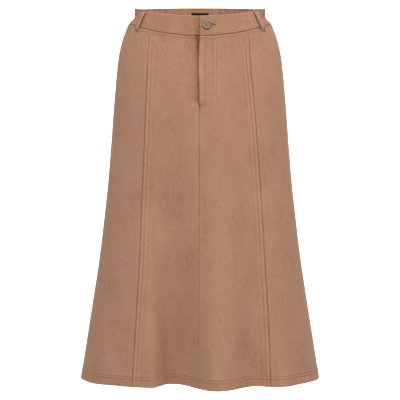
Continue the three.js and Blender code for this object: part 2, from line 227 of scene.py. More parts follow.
class GeometryBook(NodeBook):
    """A Geometry Nodes tree with named inputs."""

    SOCKETS = {float: "NodeSocketFloat", int: "NodeSocketInt"}

    def __init__(self, name: str, **sizes: float | int) -> None:
        """Makes the tree and its interface.

        Args:
            name: the tree's name.
            sizes: its inputs with their defaults, with underscores for spaces.
        """
        super().__init__(bpy.data.node_groups.new(name, "GeometryNodeTree"))
        face = self.tree.interface
        face.new_socket("Geometry", in_out="INPUT", socket_type="NodeSocketGeometry")
        for key, value in sizes.items():
            kind = self.SOCKETS[type(value)]
            face.new_socket(key.replace("_", " "), in_out="INPUT", socket_type=kind).default_value = value
        face.new_socket("Finish", in_out="INPUT", socket_type="NodeSocketMaterial")
        face.new_socket("Geometry", in_out="OUTPUT", socket_type="NodeSocketGeometry")
        self.start = self.node("NodeGroupInput")

    def size(self, name: str) -> Term:
        """An input's value, by its name."""
        return Term(self, self.start.outputs[name])

    def attribute(self, name: str, kind: str = "FLOAT") -> bpy.types.NodeSocket:
        """A named attribute's socket.

        Args:
            name: the attribute.
            kind: its data type.

        Returns:
            The socket that gives it.
        """
        made = self.node("GeometryNodeInputNamedAttribute", {"data_type": kind}, Name=name)
        return made.outputs[0]

    def close(self, geometry: bpy.types.NodeSocket) -> None:
        """Ends the tree: real geometry, smooth, in its finish.

        Args:
            geometry: what the tree made.
        """
        real = self.node("GeometryNodeRealizeInstances", None, Geometry=geometry)
        even = self.node("GeometryNodeSetShadeSmooth", None, Geometry=real.outputs[0])
        dressed = self.node("GeometryNodeSetMaterial", None, Geometry=even.outputs[0],
                            Material=self.start.outputs["Finish"])
        self.node("NodeGroupOutput", None, Geometry=dressed.outputs[0])

    def run(self, obj: bpy.types.Object, finish: bpy.types.Material, **sizes: float | int) -> None:
        """Works the tree on an object and keeps the result as its plain mesh.

        Args:
            obj: the object.
            finish: its material.
            sizes: the inputs' values, with underscores for spaces.
        """
        modifier = obj.modifiers.new(self.tree.name, "NODES")
        modifier.node_group = self.tree
        values = {key.replace("_", " "): value for key, value in sizes.items()} | {"Finish": finish}
        for item in self.tree.interface.items_tree:
            if item.in_out == "INPUT" and item.name in values:
                modifier[item.identifier] = values[item.name]
        settle(obj)


def settle(obj: bpy.types.Object) -> None:
    """Makes an object's evaluated shape its plain mesh and drops its modifiers.

    Args:
        obj: the object.
    """
    graph = bpy.context.evaluated_depsgraph_get()
    mesh = bpy.data.meshes.new_from_object(obj.evaluated_get(graph), depsgraph=graph)
    obj.modifiers.clear()
    before = obj.data
    obj.data = mesh
    bpy.data.meshes.remove(before)
    mesh.name = obj.name


# ---- Finishes ---------------------------------------------------------------------------------------


def new_material(name: str, **constants: object) -> tuple[bpy.types.Material, NodeBook, bpy.types.Node]:
    """Makes a material with a Principled shader.

    Args:
        name: the material's name.
        constants: values that are the same all over, set on the shader's own sockets.

    Returns:
        The material, its book and its shader.
    """
    material = bpy.data.materials.new(name)
    material.use_nodes = True
    material.node_tree.nodes.clear()
    book = NodeBook(material.node_tree)
    shader = book.node("ShaderNodeBsdfPrincipled", None, **constants)
    book.node("ShaderNodeOutputMaterial", None, Surface=shader.outputs[0])
    return material, book, shader


def wire(book: NodeBook, shader: bpy.types.Node, **sockets: object) -> None:
    """Feeds sockets of a shader.

    Args:
        book: the material's book.
        shader: its shader.
        sockets: terms or sockets by the shader's socket name, with underscores for spaces.
    """
    for key, value in sockets.items():
        source = value.socket if isinstance(value, Term) else value
        book.tree.links.new(source, shader.inputs[key.replace("_", " ")])


@dataclass(frozen=True)
class Suede:
    """Faux suede: a short matt nap, brushed lighter and darker in soft patches.

    patch, speck and fibre say how many lumps of each there are in a metre.
    """

    name: str
    light: Colour
    middle: Colour
    dark: Colour
    # The darkest colour, used for painted shade in grooves, along seams and under laps.
    painted_shade: Colour
    patch: float = 26.0
    speck: float = 420.0
    fibre: float = 1500.0

    def make(self) -> bpy.types.Material:
        """Builds the material.

        Returns:
            The material.
        """
        material, book, shader = new_material(
            self.name, Metallic=0.0, Sheen_Weight=0.12, Sheen_Roughness=0.5,
            Sheen_Tint=(1.0, 0.86, 0.74, 1.0), Specular_IOR_Level=0.07)
        place = book.node("ShaderNodeTexCoord").outputs["Object"]
        warp = book.node("ShaderNodeTexNoise", None, Vector=place, Scale=40.0, Detail=1.0).outputs[1]
        bent = book.node("ShaderNodeVectorMath", {"operation": "MULTIPLY_ADD"}, _0=warp,
                         _1=(0.012, 0.012, 0.012), _2=place).outputs[0]
        patches = book.noise(book.stretch(bent, (1.0, 1.0, 0.6)), self.patch, 3.0, 0.55)
        strokes = book.noise(book.stretch(bent, (1.0, 1.0, 0.5)), self.patch * 6, 3.0, 0.6)
        specks = book.noise(place, self.speck, 2.0, 0.6)
        fibres = book.noise(book.stretch(place, (1.0, 1.0, 0.6)), self.fibre, 2.0, 0.7)
        # The cloth's mark paints light and shade into the nap: shade in grooves, along seams and under
        # laps, and highlight on raised cloth. It also carries some worn nap and the darker inner face.
        rubbed = Term(book, book.node("ShaderNodeAttribute", {"attribute_name": "rubbed"}).outputs["Fac"])
        nap = 0.36 * patches + 0.27 * strokes + 0.37 * specks + 0.16 * rubbed
        # Painted shade takes the nap down to the darkest colour.
        shaded_nap = book.blend(book.band(nap, 0.08, 0.32), self.painted_shade, self.dark)
        lit = book.blend(book.band(nap, 0.36, 0.5), shaded_nap, self.middle)
        colour = book.blend(book.band(nap, 0.5, 0.66), lit, self.light)
        rough = 0.86 + 0.1 * specks
        height = 0.5 * specks + 0.5 * fibres + 0.6 * strokes
        bump = book.node("ShaderNodeBump", None, Strength=0.55, Distance=0.0005, Height=height)
        wire(book, shader, Base_Color=colour, Roughness=rough, Normal=bump.outputs[0])
        return material


@dataclass(frozen=True)
class Thread:
    """Matt polyester sewing thread."""

    name: str
    colour: Colour
    shade: Colour

    def make(self) -> bpy.types.Material:
        """Builds the material.

        Returns:
            The material.
        """
        material, book, shader = new_material(self.name, Sheen_Weight=0.2, Specular_IOR_Level=0.3)
        place = book.node("ShaderNodeTexCoord").outputs["Object"]
        twist = book.noise(place, 2600.0, 1.0)
        colour = book.blend(book.band(twist, 0.35, 0.65), self.shade, self.colour)
        bump = book.node("ShaderNodeBump", None, Strength=0.4, Distance=0.0001, Height=twist)
        wire(book, shader, Base_Color=colour, Roughness=0.55 + 0.2 * twist, Normal=bump.outputs[0])
        return material


@dataclass(frozen=True)
class AntiqueMetal:
    """Cast metal with a worn plating: grey silver over brass, with fine dark specks of tarnish."""

    name: str
    silver: Colour
    brass: Colour
    tarnish: Colour

    def make(self) -> bpy.types.Material:
        """Builds the material.

        Returns:
            The material.
        """
        material, book, shader = new_material(self.name, Metallic=1.0)
        place = book.node("ShaderNodeTexCoord").outputs["Object"]
        cloud = book.noise(place, 170.0, 3.0, 0.6)
        grit = book.noise(place, 1400.0, 2.0, 0.6)
        plated = book.blend(book.band(cloud, 0.42, 0.6), self.silver, self.brass)
        colour = book.blend(book.band(grit, 0.52, 0.75) * 0.6, plated, self.tarnish)
        bump = book.node("ShaderNodeBump", None, Strength=0.35, Distance=0.0001, Height=grit)
        wire(book, shader, Base_Color=colour, Roughness=0.42 + 0.2 * grit, Normal=bump.outputs[0])
        return material


@dataclass(frozen=True)
class Woven:
    """Plain woven tape, its threads crossing on the piece's own map, which is in metres."""

    name: str
    colour: Colour
    shade: Colour
    threads: float = 1400.0

    def make(self) -> bpy.types.Material:
        """Builds the material.

        Returns:
            The material.
        """
        material, book, shader = new_material(self.name, Sheen_Weight=0.05, Specular_IOR_Level=0.1)
        chart = book.node("ShaderNodeTexCoord").outputs["UV"]
        parts = book.node("ShaderNodeSeparateXYZ", None, Vector=chart)
        across = book.maths("SINE", Term(book, parts.outputs[0]) * (self.threads * math.tau))
        along = book.maths("SINE", Term(book, parts.outputs[1]) * (self.threads * math.tau))
        weave = across * along * 0.5 + 0.5
        colour = book.blend(book.band(weave, 0.1, 0.9), self.shade, self.colour)
        bump = book.node("ShaderNodeBump", None, Strength=0.5, Distance=0.0001, Height=weave)
        wire(book, shader, Base_Color=colour, Roughness=0.7 + 0.15 * weave, Normal=bump.outputs[0])
        return material


# ---- Form of the skirt ------------------------------------------------------------------------------


class Station(NamedTuple):
    """A level section: height, half the width, depth before and behind the axis, and roundness."""

    z: float
    half: float
    front: float
    back: float
    round: float


class SeamStation(NamedTuple):
    """Where the gores meet at a height, as shares of the half width."""

    z: float
    right: float
    left: float
    centre: float
    back: float


class Fold(NamedTuple):
    """A soft fold that deepens to the hem. out is below 0 for a trough, and right and left its reach."""

    face: str
    top: float
    hem: float
    out: float
    right: float
    left: float
    steep: float
    start: float


class Seam(Enum):
    """The lines where gores meet, and the two side seams."""

    SIDE_LEFT = "left"
    SIDE_RIGHT = "right"
    FRONT_LEFT = "front left"
    FRONT_RIGHT = "front right"
    CENTRE_FRONT = "centre front"
    BACK_LEFT = "back left"
    BACK_RIGHT = "back right"
    CENTRE_BACK = "centre back"


STATIONS = (
    Station(30, 133.0, 91, 91, 2.15),
    Station(20, 137.0, 92, 93, 2.15),
    Station(-14, 149.8, 96, 101, 2.18),
    Station(-45, 161.2, 100, 110, 2.2),
    Station(-87, 170.5, 104, 120, 2.2),
    Station(-171, 179.0, 109, 131, 2.2),
    Station(-255, 185.5, 111, 133, 2.2),
    Station(-339, 192.5, 113, 132, 2.18),
    Station(-423, 202.0, 116, 132, 2.15),
    Station(-507, 212.5, 121, 134, 2.12),
    Station(-591, 225.5, 126, 138, 2.1),
    Station(-675, 239.0, 131, 142, 2.1),
    Station(-758, 252.5, 136, 146, 2.1),
)
SEAM_STATIONS = (
    SeamStation(-14, -0.665, 0.645, 0.0, 0.65),
    SeamStation(-87, -0.625, 0.599, -0.019, 0.61),
    SeamStation(-171, -0.617, 0.617, -0.012, 0.6),
    SeamStation(-360, -0.611, 0.641, -0.009, 0.6),
    SeamStation(-494, -0.589, 0.633, -0.013, 0.59),
    SeamStation(-630, -0.57, 0.609, -0.015, 0.575),
    SeamStation(-758, -0.555, 0.575, -0.018, 0.56),
)
FOLDS = (
    Fold("front", -62, -62, -51, 26, 55, 4, -215),
    Fold("front", 32, 33, 29, 42, 40, 2, -215),
    Fold("front", 108, 114, -16, 30, 24, 2, -250),
    Fold("front", 138, 170, 11, 20, 28, 2, -130),
    Fold("front", -158, -216, 5, 16, 20, 2, -380),
    Fold("back", -128, -136, -24, 34, 30, 2, -300),
    Fold("back", -60, -66, 22, 38, 34, 2, -250),
    Fold("back", 10, 6, -34, 40, 36, 2.6, -270),
    Fold("back", 74, 82, 20, 34, 40, 2, -310),
    Fold("back", 140, 150, -18, 32, 28, 2, -360),
)


def soft_step(x: Array | float) -> Array | float:
    """A soft step from 0 at 0 to 1 at 1."""
    held = np.clip(x, 0.0, 1.0)
    return held * held * (3 - 2 * held)


def bell(x: Array | float, width: float) -> Array | float:
    """A soft hump, 1 at 0 and gone two widths away."""
    return np.exp(-((x / width) ** 2))


def lerp(a: Array | float, b: Array | float, s: Array | float) -> Array | float:
    """A value a share s of the way from a to b."""
    return a + (b - a) * s


def column_at(rows: Sequence[NamedTuple], name: str, z: Array) -> Array:
    """Reads a column of a table on a smooth curve through its rows.

    Args:
        rows: the table, from the highest z to the lowest.
        name: the column.
        z: heights.

    Returns:
        The column's value at each height.
    """
    heights = np.array([row.z for row in rows], float)
    values = np.array([getattr(row, name) for row in rows], float)
    before = np.maximum(np.arange(len(rows)) - 1, 0)
    after = np.minimum(np.arange(len(rows)) + 1, len(rows) - 1)
    slopes = (values[after] - values[before]) / (heights[after] - heights[before])
    i = np.clip(np.searchsorted(-heights, -np.asarray(z, float)) - 1, 0, len(rows) - 2)
    step = heights[i + 1] - heights[i]
    s = np.clip((z - heights[i]) / step, 0.0, 1.0)
    return (values[i] * (1 + 2 * s) * (1 - s) ** 2 + slopes[i] * step * s * (1 - s) ** 2
            + values[i + 1] * s**2 * (3 - 2 * s) + slopes[i + 1] * step * s**2 * (s - 1))


def unit(vectors: Array) -> Array:
    """Vectors at length 1."""
    return vectors / np.linalg.norm(vectors, axis=-1, keepdims=True)


@dataclass(frozen=True)
class Form:
    """The outer face of the skirt as a function of ring angle t and height z.

    Ring angle 0 is the wearer's left side and minus a quarter turn is the front.
    """

    hem: float = -758.0
    top_side: float = 20.0
    top_front_drop: float = 18.0
    top_back_rise: float = 4.0
    seam_side: float = -13.6
    seam_front_drop: float = 25.4
    seam_back_drop: float = 2.4
    top_front_curve: float = 1.9
    seam_front_curve: float = 2.5
    growth: float = 1.3
    spread: float = 1.7
    round_fold: float = 2.0
    left_flank: float = 2.3
    fold_fade: float = 0.35

    def top_edge(self, t: Array) -> Array:
        """Height of the waistband's top edge.

        Args:
            t: ring angles.

        Returns:
            The height at each angle.
        """
        turn = np.sin(t)
        front = self.top_side - self.top_front_drop * np.abs(turn) ** self.top_front_curve
        return np.where(turn < 0, front, self.top_side + self.top_back_rise * turn**2)

    def waist_seam(self, t: Array) -> Array:
        """Height of the waistband's lower seam.

        Args:
            t: ring angles.

        Returns:
            The height at each angle.
        """
        turn = np.abs(np.sin(t))
        front = self.seam_front_drop * turn**self.seam_front_curve
        back = self.seam_back_drop * turn**2
        return self.seam_side - np.where(np.sin(t) < 0, front, back)

    def fold_out(self, x: Array, z: Array, face: str) -> Array:
        """How far the folds carry the cloth outwards.

        Args:
            x: sideways places.
            z: heights.
            face: front or back.

        Returns:
            The distance at each place.
        """
        out = np.zeros(np.broadcast(x, z).shape)
        for fold in (f for f in FOLDS if f.face == face):
            down = np.clip((fold.start - z) / (fold.start - self.hem), 0.0, 1.0)
            offset = x - lerp(fold.top, fold.hem, down)
            reach = np.where(offset < 0, fold.right, fold.left) * lerp(self.spread, 1.0, down)
            steep = np.where(offset < 0, lerp(self.round_fold, fold.steep, down), self.left_flank)
            out += fold.out * down**self.growth * np.exp(-(np.abs(offset / reach) ** steep))
        return out

    def face(self, t: Array, z: Array) -> Array:
        """Points of the outer face.

        Args:
            t: ring angles.
            z: heights.

        Returns:
            The points, in millimetres.
        """
        t, z = np.broadcast_arrays(np.asarray(t, float), np.asarray(z, float))
        sine, cosine = np.sin(t), np.cos(t)
        power = column_at(STATIONS, "round", z)
        half = column_at(STATIONS, "half", z)
        depth = np.where(sine < 0, column_at(STATIONS, "front", z), column_at(STATIONS, "back", z))
        x = half * np.sign(cosine) * np.abs(cosine) ** (2 / power)
        y = depth * np.sign(sine) * np.abs(sine) ** (2 / power)
        away = unit(np.stack([
            np.sign(x) * np.abs(x / half) ** (power - 1) / half,
            np.sign(y) * np.abs(y / depth) ** (power - 1) / depth,
            np.zeros_like(x)], -1))
        folds = np.where(sine < 0, self.fold_out(x, z, "front"), self.fold_out(x, z, "back"))
        out = soft_step(np.abs(sine) / self.fold_fade) * folds
        return np.stack([x, y, z], -1) + away * out[..., None]

    def normal(self, t: Array, z: Array) -> Array:
        """Outward directions of the face.

        Args:
            t: ring angles.
            z: heights.

        Returns:
            Unit vectors.
        """
        along = self.face(t + 2 * TURN_STEP, z) - self.face(t - 2 * TURN_STEP, z)
        up = self.face(t, z + LEVEL_STEP) - self.face(t, z - LEVEL_STEP)
        return unit(np.cross(along, up))

    def angle_of_share(self, share: Array, z: Array, face: str) -> Array:
        """Ring angle of a share of the half width.

        Args:
            share: shares, below 0 on the wearer's right.
            z: heights.
            face: front or back.

        Returns:
            The angles.
        """
        power = column_at(STATIONS, "round", np.asarray(z, float)) / 2
        turn = np.arccos(np.clip(np.sign(share) * np.abs(share) ** power, -1, 1))
        return -turn if face == "front" else turn

    def angle_of_x(self, x: Array, z: Array, face: str = "front") -> Array:
        """Ring angle of sideways places x at heights z, on the front or the back."""
        return self.angle_of_share(x / column_at(STATIONS, "half", np.asarray(z, float)), z, face)

    def seam_angle(self, seam: Seam, z: Array) -> Array:
        """Ring angle of a seam.

        Args:
            seam: the seam.
            z: heights.

        Returns:
            Its angle at each height.
        """
        z = np.asarray(z, float)
        fixed = {Seam.SIDE_LEFT: 0.0, Seam.SIDE_RIGHT: -math.pi, Seam.CENTRE_BACK: BACK}
        if seam in fixed:
            return np.full_like(z, fixed[seam])
        column, sign, face = {
            Seam.FRONT_LEFT: ("left", 1, "front"),
            Seam.FRONT_RIGHT: ("right", 1, "front"),
            Seam.CENTRE_FRONT: ("centre", 1, "front"),
            Seam.BACK_LEFT: ("back", 1, "back"),
            Seam.BACK_RIGHT: ("back", -1, "back"),
        }[seam]
        return self.angle_of_share(sign * column_at(SEAM_STATIONS, column, z), z, face)

    def nudge(self, t: Array, z: Array, distance: Array | float) -> Array:
        """Ring angles moved along the ring by a distance.

        Args:
            t: ring angles.
            z: heights.
            distance: how far, towards the wearer's left on the front.

        Returns:
            The new angles.
        """
        reach = np.linalg.norm(self.face(t + TURN_STEP, z) - self.face(t - TURN_STEP, z), axis=-1)
        return t + distance * 2 * TURN_STEP / reach


# ---- Cloth ------------------------------------------------------------------------------------------


@dataclass
class Cut:
    """A piece of cloth as it is cut: its width and length, and its area where it isn't a rectangle.

    They are in millimetres and square millimetres.
    """

    width: float
    length: float
    held: str
    area: float | None = None


def link(name: str, mesh: bpy.types.Mesh) -> bpy.types.Object:
    """Puts a mesh in the scene under a name.

    Args:
        name: the object's name.
        mesh: its mesh.

    Returns:
        The object.
    """
    obj = bpy.data.objects.new(name, mesh)
    bpy.context.scene.collection.objects.link(obj)
    return obj


def make_shell(name: str, outer: Array, inner: Array, chart: Array, marks: dict[str, Array] | None = None,
               ) -> bpy.types.Object:
    """Makes a closed shell between two faces on one grid of rows and columns.

    Args:
        name: the object's name.
        outer: points of the outer face, rows by columns, in millimetres.
        inner: points of the inner face.
        chart: the grid's own map in metres, rows by columns by two.
        marks: numbers or vectors kept on the points, the same on both faces, but for the painted light
            mark, which keeps only its painted shade on the inner face and is darker there.

    Returns:
        The object, facing outwards.
    """
    m, n = outer.shape[:2]
    points = np.concatenate([outer.reshape(-1, 3), inner.reshape(-1, 3)]) * METRE
    out_id = np.arange(m * n).reshape(m, n)
    in_id = out_id + m * n
    a, b, c, d = out_id[:-1, :-1], out_id[1:, :-1], out_id[1:, 1:], out_id[:-1, 1:]
    faces = [np.stack([a, b, c, d], -1), np.stack([d, c, b, a], -1) + m * n]
    faces.append(np.stack([out_id[0, :-1], out_id[0, 1:], in_id[0, 1:], in_id[0, :-1]], -1))
    faces.append(np.stack([out_id[-1, 1:], out_id[-1, :-1], in_id[-1, :-1], in_id[-1, 1:]], -1))
    faces.append(np.stack([out_id[1:, 0], out_id[:-1, 0], in_id[:-1, 0], in_id[1:, 0]], -1))
    faces.append(np.stack([out_id[:-1, -1], out_id[1:, -1], in_id[1:, -1], in_id[:-1, -1]], -1))
    quads = np.concatenate([f.reshape(-1, 4) for f in faces])
    mesh = bpy.data.meshes.new(name)
    mesh.from_pydata(points.tolist(), [], quads.tolist())
    both = np.concatenate([chart.reshape(-1, 2), chart.reshape(-1, 2)])
    layer = mesh.uv_layers.new(name="chart")
    layer.data.foreach_set("uv", both[quads.ravel()].astype(np.float32).ravel())
    for key, values in (marks or {}).items():
        vector = values.ndim == 3
        kind = "FLOAT_VECTOR" if vector else "FLOAT"
        attribute = mesh.attributes.new(key, kind, "POINT")
        flat = values.reshape(-1, 3) if vector else values.reshape(-1)
        # The inner face keeps only the painted shade of the mark, and is made darker still.
        within = np.minimum(flat, 0) + WRONG_SIDE_AND_INNER_SHADE if key == "rubbed" else flat
        doubled = np.concatenate([flat, within]).astype(np.float32)
        attribute.data.foreach_set("vector" if vector else "value", doubled.ravel())
    mesh.polygons.foreach_set("use_smooth", np.ones(len(mesh.polygons), bool))
    mesh.update()
    return link(name, mesh)


def relief_tree() -> GeometryBook:
    """The tree that gives hung cloth its small unevenness: a soft drape, and puckers along seams.

    Returns:
        The tree, which reads the marks out, pucker and drape.
    """
    book = GeometryBook("cloth_relief", Drape_Depth=0.0012, Drape_Size=0.07, Pucker_Depth=0.0004,
                        Pucker_Size=0.008)
    place = book.node("GeometryNodeInputPosition").outputs[0]
    tall = book.stretch(place, (1.0, 1.0, 0.32))
    drape_scale = book.maths("DIVIDE", 1.0, book.size("Drape Size"))
    pucker_scale = book.maths("DIVIDE", 1.0, book.size("Pucker Size"))
    drape = book.node("ShaderNodeTexNoise", None, Vector=tall, Scale=drape_scale, Detail=2.0)
    pucker = book.node("ShaderNodeTexNoise", None, Vector=place, Scale=pucker_scale, Detail=1.0)
    swell = (Term(book, drape.outputs[0]) - 0.5) * book.size("Drape Depth")
    pull = (Term(book, pucker.outputs[0]) - 0.5) * book.size("Pucker Depth")
    move = (swell * Term(book, book.attribute("drape")) + pull * Term(book, book.attribute("pucker"))) * 2.0
    offset = book.node("ShaderNodeVectorMath", {"operation": "SCALE"},
                       _0=book.attribute("out", "FLOAT_VECTOR"), Scale=move)
    moved = book.node("GeometryNodeSetPosition", None, Geometry=book.start.outputs["Geometry"],
                      Offset=offset.outputs[0])
    book.close(moved.outputs[0])
    return book


def seat(obj: bpy.types.Object, replaces: Sequence[str] = (), cut: Cut | None = None) -> bpy.types.Object:
    """Joins a finished piece to the frame.

    Args:
        obj: the piece.
        replaces: CAD nodes it stands for.
        cut: how it is cut, if it is cloth.

    Returns:
        The piece.
    """
    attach(obj, "root")
    if replaces:
        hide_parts(*replaces)
    if cut:
        flat = (round(cut.width * METRE, 4), round(cut.length * METRE, 4))
        area = None if cut.area is None else round(cut.area * METRE**2, 4)
    LOG.info("%s: %d faces", obj.name, len(obj.data.polygons))
    return obj


def turned_edge(distance: Array, radius: float) -> Array:
    """Share of a shell's thickness that is left at a distance from its rounded edge."""
    inside = np.clip(distance / radius, 0.0, 1.0)
    return np.maximum(np.sqrt(1 - (1 - inside) ** 2), THINNEST_EDGE)


class StitchKind(Enum):
    """How stitches lie on their line."""

    RUNNING = 0
    SATIN = 1


@dataclass
class StitchBook:
    """Geometry Nodes that lay thread along lines, one tree for running and one for satin stitch."""

    finish: bpy.types.Material
    flatness: float = 0.8
    trees: dict[StitchKind, GeometryBook] = field(init=False)

    def __post_init__(self) -> None:
        """Builds a tree for each kind."""
        self.trees = {kind: self.tree(kind) for kind in StitchKind}

    def tree(self, kind: StitchKind) -> GeometryBook:
        """Builds the tree of one kind of stitch.

        Args:
            kind: running or satin.

        Returns:
            The tree, which reads the mark out on the lines.
        """
        book = GeometryBook(f"stitches_{kind.name.lower()}", Pitch=0.003, Length=0.0025, Thickness=0.0005,
                            Unevenness=0.12, Seed=7)
        line = book.node("GeometryNodeMeshToCurve", None, Mesh=book.start.outputs["Geometry"])
        beads = book.node("GeometryNodeResampleCurve", {"mode": "LENGTH"}, Curve=line.outputs[0],
                          Length=book.size("Pitch"))
        bead = book.node("GeometryNodeMeshUVSphere", None, Segments=6, Rings=5, Radius=0.5)
        long, thick = book.size("Length"), book.size("Thickness")
        size = book.node("ShaderNodeCombineXYZ", None, X=long, Y=thick, Z=thick * self.flatness)
        shaped = book.node("GeometryNodeTransform", None, Geometry=bead.outputs[0], Scale=size.outputs[0])
        along = book.node("GeometryNodeInputTangent").outputs[0]
        out = book.attribute("out", "FLOAT_VECTOR")
        if kind is StitchKind.SATIN:
            along = book.node("ShaderNodeVectorMath", {"operation": "CROSS_PRODUCT"}, _0=along,
                              _1=out).outputs[0]
        upright = book.node("FunctionNodeAlignRotationToVector", {"axis": "Z"}, Vector=out)
        turned = book.node("FunctionNodeAlignRotationToVector", {"axis": "X", "pivot_axis": "Z"},
                           Rotation=upright.outputs[0], Vector=along)
        uneven = book.size("Unevenness")
        scale = book.node("FunctionNodeRandomValue", {"data_type": "FLOAT"}, _2=1.0 - uneven,
                          _3=1.0 + uneven * 0.5, Seed=book.size("Seed"))
        laid = book.node("GeometryNodeInstanceOnPoints", None, Points=beads.outputs[0],
                         Instance=shaped.outputs[0], Rotation=turned.outputs[0], Scale=scale.outputs[1])
        book.close(laid.outputs[0])
        return book

    def sew(self, name: str, lines: Sequence[Array], cloth: Sequence[bpy.types.Object],
            kind: StitchKind = StitchKind.RUNNING, pitch: float = 3.0, length: float = 2.5,
            thickness: float = 0.5, lift: float = 0.12) -> bpy.types.Object:
        """Lays stitches on cloth along lines near its face.

        Args:
            name: the piece's name.
            lines: points near the outer face, one array for each line, in millimetres.
            cloth: the pieces it is sewn through, on whose face the line is laid.
            kind: running or satin.
            pitch: from one stitch to the next.
            length: of a stitch, or its reach across the line for satin.
            thickness: of the thread.
            lift: how far the thread's middle stands off the face.

        Returns:
            The stitches as one piece.
        """
        trees = [BVHTree.FromPolygons([v.co for v in c.data.vertices],
                                      [p.vertices for p in c.data.polygons]) for c in cloth]
        points, outs, edges = [], [], []
        for line in lines:
            start = len(points)
            for point in line * METRE:
                found = min((tree.find_nearest(Vector(point)) for tree in trees), key=lambda f: f[3])
                points.append(found[0] + found[1] * lift * METRE)
                outs.append(found[1])
            edges += [(i, i + 1) for i in range(start, len(points) - 1)]
        mesh = bpy.data.meshes.new(name)
        mesh.from_pydata(points, edges, [])
        attribute = mesh.attributes.new("out", "FLOAT_VECTOR", "POINT")
        attribute.data.foreach_set("vector", np.array(outs, np.float32).ravel())
        obj = link(name, mesh)
        self.trees[kind].run(obj, self.finish, Pitch=pitch * METRE, Length=length * METRE,
                             Thickness=thickness * METRE)
        return seat(obj)


def arc_from_start(points: Array) -> Array:
    """Distance along each row from its first column."""
    links = np.linalg.norm(np.diff(points, axis=1), axis=-1)
    return np.concatenate([np.zeros((points.shape[0], 1)), np.cumsum(links, axis=1)], axis=1)


def from_nearer_end(points: Array) -> Array:
    """Distance along each row from its nearer end."""
    along = arc_from_start(points)
    return np.minimum(along, along[:, -1:] - along)


def crowded(count: int, share: float = 0.42) -> Array:
    """Places from 0 to 1 that stand closer together towards both ends.

    Args:
        count: how many steps.
        share: how much of the spacing is crowded.

    Returns:
        The places.
    """
    even = np.linspace(0, 1, count + 1)
    return (1 - share) * even + share * (1 - np.cos(math.pi * even)) / 2


@dataclass
class Shell:
    """A grid on the form and what is done to it before it becomes a closed shell of cloth."""

    name: str
    form: Form
    t: Array
    z: Array
    thickness: float
    out: Array | float = 0.0
    turned: Array | float = 1.0
    behind: Array | float = 0.0
    pucker: Array | float = 0.0
    drape: Array | float = 1.0
    rubbed: Array | float = 0.0

    def __post_init__(self) -> None:
        """Works out the grid's points and outward directions on the bare form."""
        self.points = self.form.face(self.t, self.z)
        self.normals = self.form.normal(self.t, self.z)

    def full(self, value: Array | float) -> Array:
        """A value on every point of the grid."""
        return np.broadcast_to(np.asarray(value, float), self.z.shape)

    def build(self) -> bpy.types.Object:
        """Makes the shell.

        Returns:
            The object, with its marks for the relief tree.
        """
        lost = self.thickness * (1 - self.full(self.turned)) / 2
        outer = self.points + self.normals * (self.full(self.out) - lost)[..., None]
        depth = self.full(self.out) - self.thickness - self.full(self.behind) + lost
        inner = self.points + self.normals * depth[..., None]
        across = arc_from_start(self.points)
        down = arc_from_start(self.points.transpose(1, 0, 2)).T
        chart = np.stack([across, -down], -1) * METRE
        marks = {"out": self.normals, "pucker": self.full(self.pucker), "drape": self.full(self.drape),
                 "rubbed": self.full(self.rubbed)}
        return make_shell(f"{self.name}_cloth", outer, inner, chart, marks)


@dataclass
class Workroom:
    """What every piece shares: the form, the tree of the cloth's relief, the finishes and the stitches.

    finishes holds the materials by their slots.
    """

    form: Form
    relief: GeometryBook
    finishes: dict[str, bpy.types.Material]
    stitches: StitchBook

    def cloth(self, shell: Shell, slot: str = "suede", **relief: float) -> bpy.types.Object:
        """Makes a shell and gives it the relief of its cloth.

        Args:
            shell: the shell.
            slot: the slot of its finish.
            relief: the relief tree's own sizes, where they differ.

        Returns:
            The cloth.
        """
        made = shell.build()
        self.relief.run(made, self.finishes[slot], **relief)
        return made


# ---- Edges of the cloth -----------------------------------------------------------------------------


class Ridge(NamedTuple):
    """A soft ridge at a distance from an edge, or a groove where its height is below 0."""

    at: float
    width: float
    height: float


class Step(NamedTuple):
    """A raised stretch beside an edge: its reach, how softly it ends, its height, how softly it starts."""

    reach: float
    fade: float
    height: float
    rise: float = 0.0


def ridges(distance: Array, rows: Sequence[Ridge]) -> Array | float:
    """Height of ridges together, at distances from their edge."""
    return sum(row.height * bell(distance - row.at, row.width) for row in rows)


def within(distance: Array, reach: float, fade: float) -> Array:
    """1 up to a reach, and softly 0 beyond it."""
    return 1 - soft_step((distance - reach) / fade)


def steps(distance: Array, rows: Sequence[Step]) -> Array | float:
    """Height of raised stretches together.

    Args:
        distance: from their edge.
        rows: the stretches.

    Returns:
        The height at each distance.
    """
    height = 0.0
    for row in rows:
        risen = soft_step(distance / row.rise) if row.rise else 1.0
        height = height + row.height * within(distance, row.reach, row.fade) * risen
    return height


@dataclass(frozen=True)
class EdgeLook:
    """How cloth lies beside a seam, a row of stitches or an edge, by the distance from it.

    layers and relief shape it outwards. shade and the ridges after it paint shade on its nap where they are
    below 0, in grooves, along rows and under edges, and make it lighter where they are above 0: painted
    highlight on raised cloth, and the folded hem edge. pull is how strongly the stitches pucker it.
    """

    layers: tuple[Step, ...] = ()
    relief: tuple[Ridge, ...] = ()
    shade: tuple[Step, ...] = ()
    painted_light_ridges: tuple[Ridge, ...] = ()
    pull: float = 0.0

    def out(self, distance: Array) -> Array | float:
        """How far outwards the cloth is shaped at distances from the edge."""
        return steps(distance, self.layers) + ridges(distance, self.relief)

    def rubbed(self, distance: Array) -> Array | float:
        """Painted light and shade on the nap, at distances from the edge."""
        return steps(distance, self.shade) + ridges(distance, self.painted_light_ridges)


# ---- Gores ------------------------------------------------------------------------------------------


